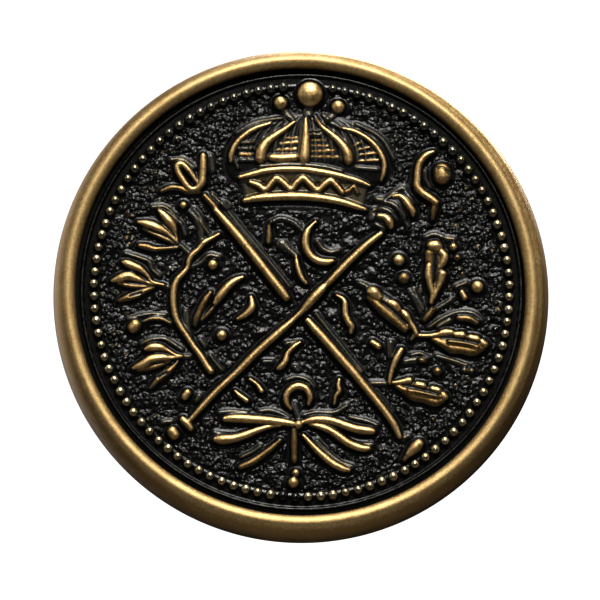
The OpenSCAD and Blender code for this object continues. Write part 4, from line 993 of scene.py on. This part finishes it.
def build_pearls():
    """Uneven pearls on a low strip, with a gap at the crown's ball and two left black at the foot. Pearls are
    painted brighter the lower they sit on the ring, which is painted light.
    """
    ball = arc(0, 0, 1, 1, -90, 90, 11)
    ball[0, 0] = ball[-1, 0] = 0.01
    ball_points, ball_quads = lathe(ball, 18)
    points, quads, wear_and_painted_light = [], [], []
    for i in range(PEARLS):
        a = math.radians(90 + (i + 0.5) * 360 / PEARLS)
        x = PEARL_RING * math.cos(a)
        y = PEARL_RING * math.sin(a)
        if math.hypot(x - CROWN_BALL[0], y - CROWN_BALL[1]) < CROWN_BALL[2] + PEARL_R + 0.05:
            continue
        size = PEARL_R * rng.uniform(0.9, 1.04)
        tall = rng.uniform(0.9, 1.05)
        dx, dy = rng.uniform(-0.02, 0.02, 2)
        # Painted light: pearls get more brass the lower they sit on the ring, on top of a random rubbing.
        rub = rng.uniform(0.26, 0.42) + 0.36 * smoothstep(10.5, 3.0, y)
        if abs(x + 0.75) < 0.75 and y < 0:
            rub = 0.1
        quads.append(ball_quads + len(ball_points) * len(points))
        points.append(ball_points * [size, size, size * tall] + [x + dx, y + dy, PEARL_Z])
        wear_and_painted_light.append(rub * smoothstep(0.25, 0.85, ball_points[:, 2]))
    strip = [(-0.33, -0.1), (-0.25, 0.0), (0.0, 0.02), (0.25, 0.0), (0.33, -0.1)]
    strip_points, strip_quads = lathe([(PEARL_RING + r, FIELD_Z + z) for r, z in strip], 360)
    quads.append(strip_quads + len(ball_points) * len(points))
    points.append(strip_points)
    wear_and_painted_light.append(np.zeros(len(strip_points)))
    floats = {"wear_and_painted_light": np.concatenate(wear_and_painted_light)}
    badge_piece("pearled_border", np.vstack(points), np.vstack(quads), mat_pearl, "pearl_border",
                floats)


build_rim()
build_ledge()
build_pearls()

# --- CAD nodes shown as they are ---
CAD_LOOKS = {
    "filler_disc": (mat_card, "filler_card"),
    "back_plate": (mat_back, "back_brass"),
    "threaded_post": (mat_fixing, "fixing_brass"),
    "locating_pin_left": (mat_fixing, "fixing_brass"),
    "locating_pin_right": (mat_fixing, "fixing_brass"),
    "clamp_washer": (mat_fixing, "fixing_brass"),
    "thumb_nut": (mat_fixing, "fixing_brass"),
}
for node, (material, slot) in CAD_LOOKS.items():
    shown = frame["nodes"][node]
    shown.data.materials.clear()
    shown.data.materials.append(material)


# --- stage, light and camera ---
FLOOR_Z = -1.0
FLOOR_HALF = 5.0


def direction(azimuth, elevation):
    """Unit vector from the badge towards an azimuth and elevation in degrees."""
    az = math.radians(azimuth)
    el = math.radians(elevation)
    return Vector((math.sin(az) * math.cos(el), -math.cos(az) * math.cos(el), math.sin(el)))


def place(name, data, towards, distance, aim=Vector()):
    """A light or camera that stands off in a direction and looks back at its aim."""
    obj = bpy.data.objects.new(name, data)
    obj.location = aim + towards * distance
    obj.rotation_mode = "QUATERNION"
    obj.rotation_quaternion = towards.to_track_quat("Z", "Y")
    bpy.context.scene.collection.objects.link(obj)
    return obj


def build_floor():
    corners = [(-1, -1), (1, -1), (1, 1), (-1, 1)]
    mesh = bpy.data.meshes.new("floor")
    mesh.from_pydata([(x * FLOOR_HALF, y * FLOOR_HALF, FLOOR_Z) for x, y in corners], [], [(0, 1, 2, 3)])
    mesh.materials.append(pale_floor("floor_pale"))
    obj = bpy.data.objects.new("floor", mesh)
    bpy.context.scene.collection.objects.link(obj)


def soft_box(name, towards, distance, size, power, color=(1, 1, 1)):
    light = bpy.data.lights.new(name, "AREA")
    light.shape = "RECTANGLE"
    light.size, light.size_y = size
    light.energy = power
    light.color = color
    place(name, light, direction(*towards), distance)


def build_world():
    """White where the camera sees it, and a dim cool fill to the badge."""
    sky = bpy.data.worlds.new("studio")
    bpy.context.scene.world = sky
    sky.use_nodes = True
    tree = sky.node_tree
    tree.nodes.clear()
    seen = tree.nodes.new("ShaderNodeBackground")
    seen.inputs["Color"].default_value = (1, 1, 1, 1)
    seen.inputs["Strength"].default_value = 1.0
    felt = tree.nodes.new("ShaderNodeBackground")
    felt.inputs["Color"].default_value = (0.93, 0.96, 1.0, 1)
    felt.inputs["Strength"].default_value = 0.045
    path = tree.nodes.new("ShaderNodeLightPath")
    mix = tree.nodes.new("ShaderNodeMixShader")
    out = tree.nodes.new("ShaderNodeOutputWorld")
    tree.links.new(path.outputs["Is Camera Ray"], mix.inputs[0])
    tree.links.new(felt.outputs[0], mix.inputs[1])
    tree.links.new(seen.outputs[0], mix.inputs[2])
    tree.links.new(mix.outputs[0], out.inputs["Surface"])


CAMERA_AZIMUTH = -1.0
CAMERA_ELEVATION = -9.0
CAMERA_DISTANCE = 0.30
SENSOR = 36.0
WIDTH_SEEN = 36.364  # millimetres across the picture
AIM = Vector((-0.06, -1.0, -0.2)) * MM


def build_camera():
    data = bpy.data.cameras.new("camera")
    data.sensor_width = SENSOR
    data.lens = SENSOR * CAMERA_DISTANCE / MM / WIDTH_SEEN
    data.clip_start = 0.01
    data.clip_end = 10
    towards = direction(CAMERA_AZIMUTH, CAMERA_ELEVATION)
    bpy.context.scene.camera = place("camera", data, towards, CAMERA_DISTANCE, AIM)


build_floor()
soft_box("key", (6, 42), 0.5, (0.2, 0.12), 2.1, (1.0, 0.97, 0.92))
soft_box("top", (0, 72), 0.6, (0.4, 0.2), 1.75)
soft_box("left", (-62, 22), 0.6, (0.10, 0.3), 0.25)
soft_box("right", (66, 22), 0.6, (0.10, 0.3), 0.19)
soft_box("back_key", (160, 40), 0.5, (0.3, 0.3), 2.8)
soft_box("back_fill", (215, 10), 0.6, (0.5, 0.4), 0.8)
build_world()
build_camera()
view = bpy.context.scene.view_settings
view.view_transform = "Standard"
view.look = "Medium High Contrast"
view.exposure = 0.0
view.gamma = 1.0
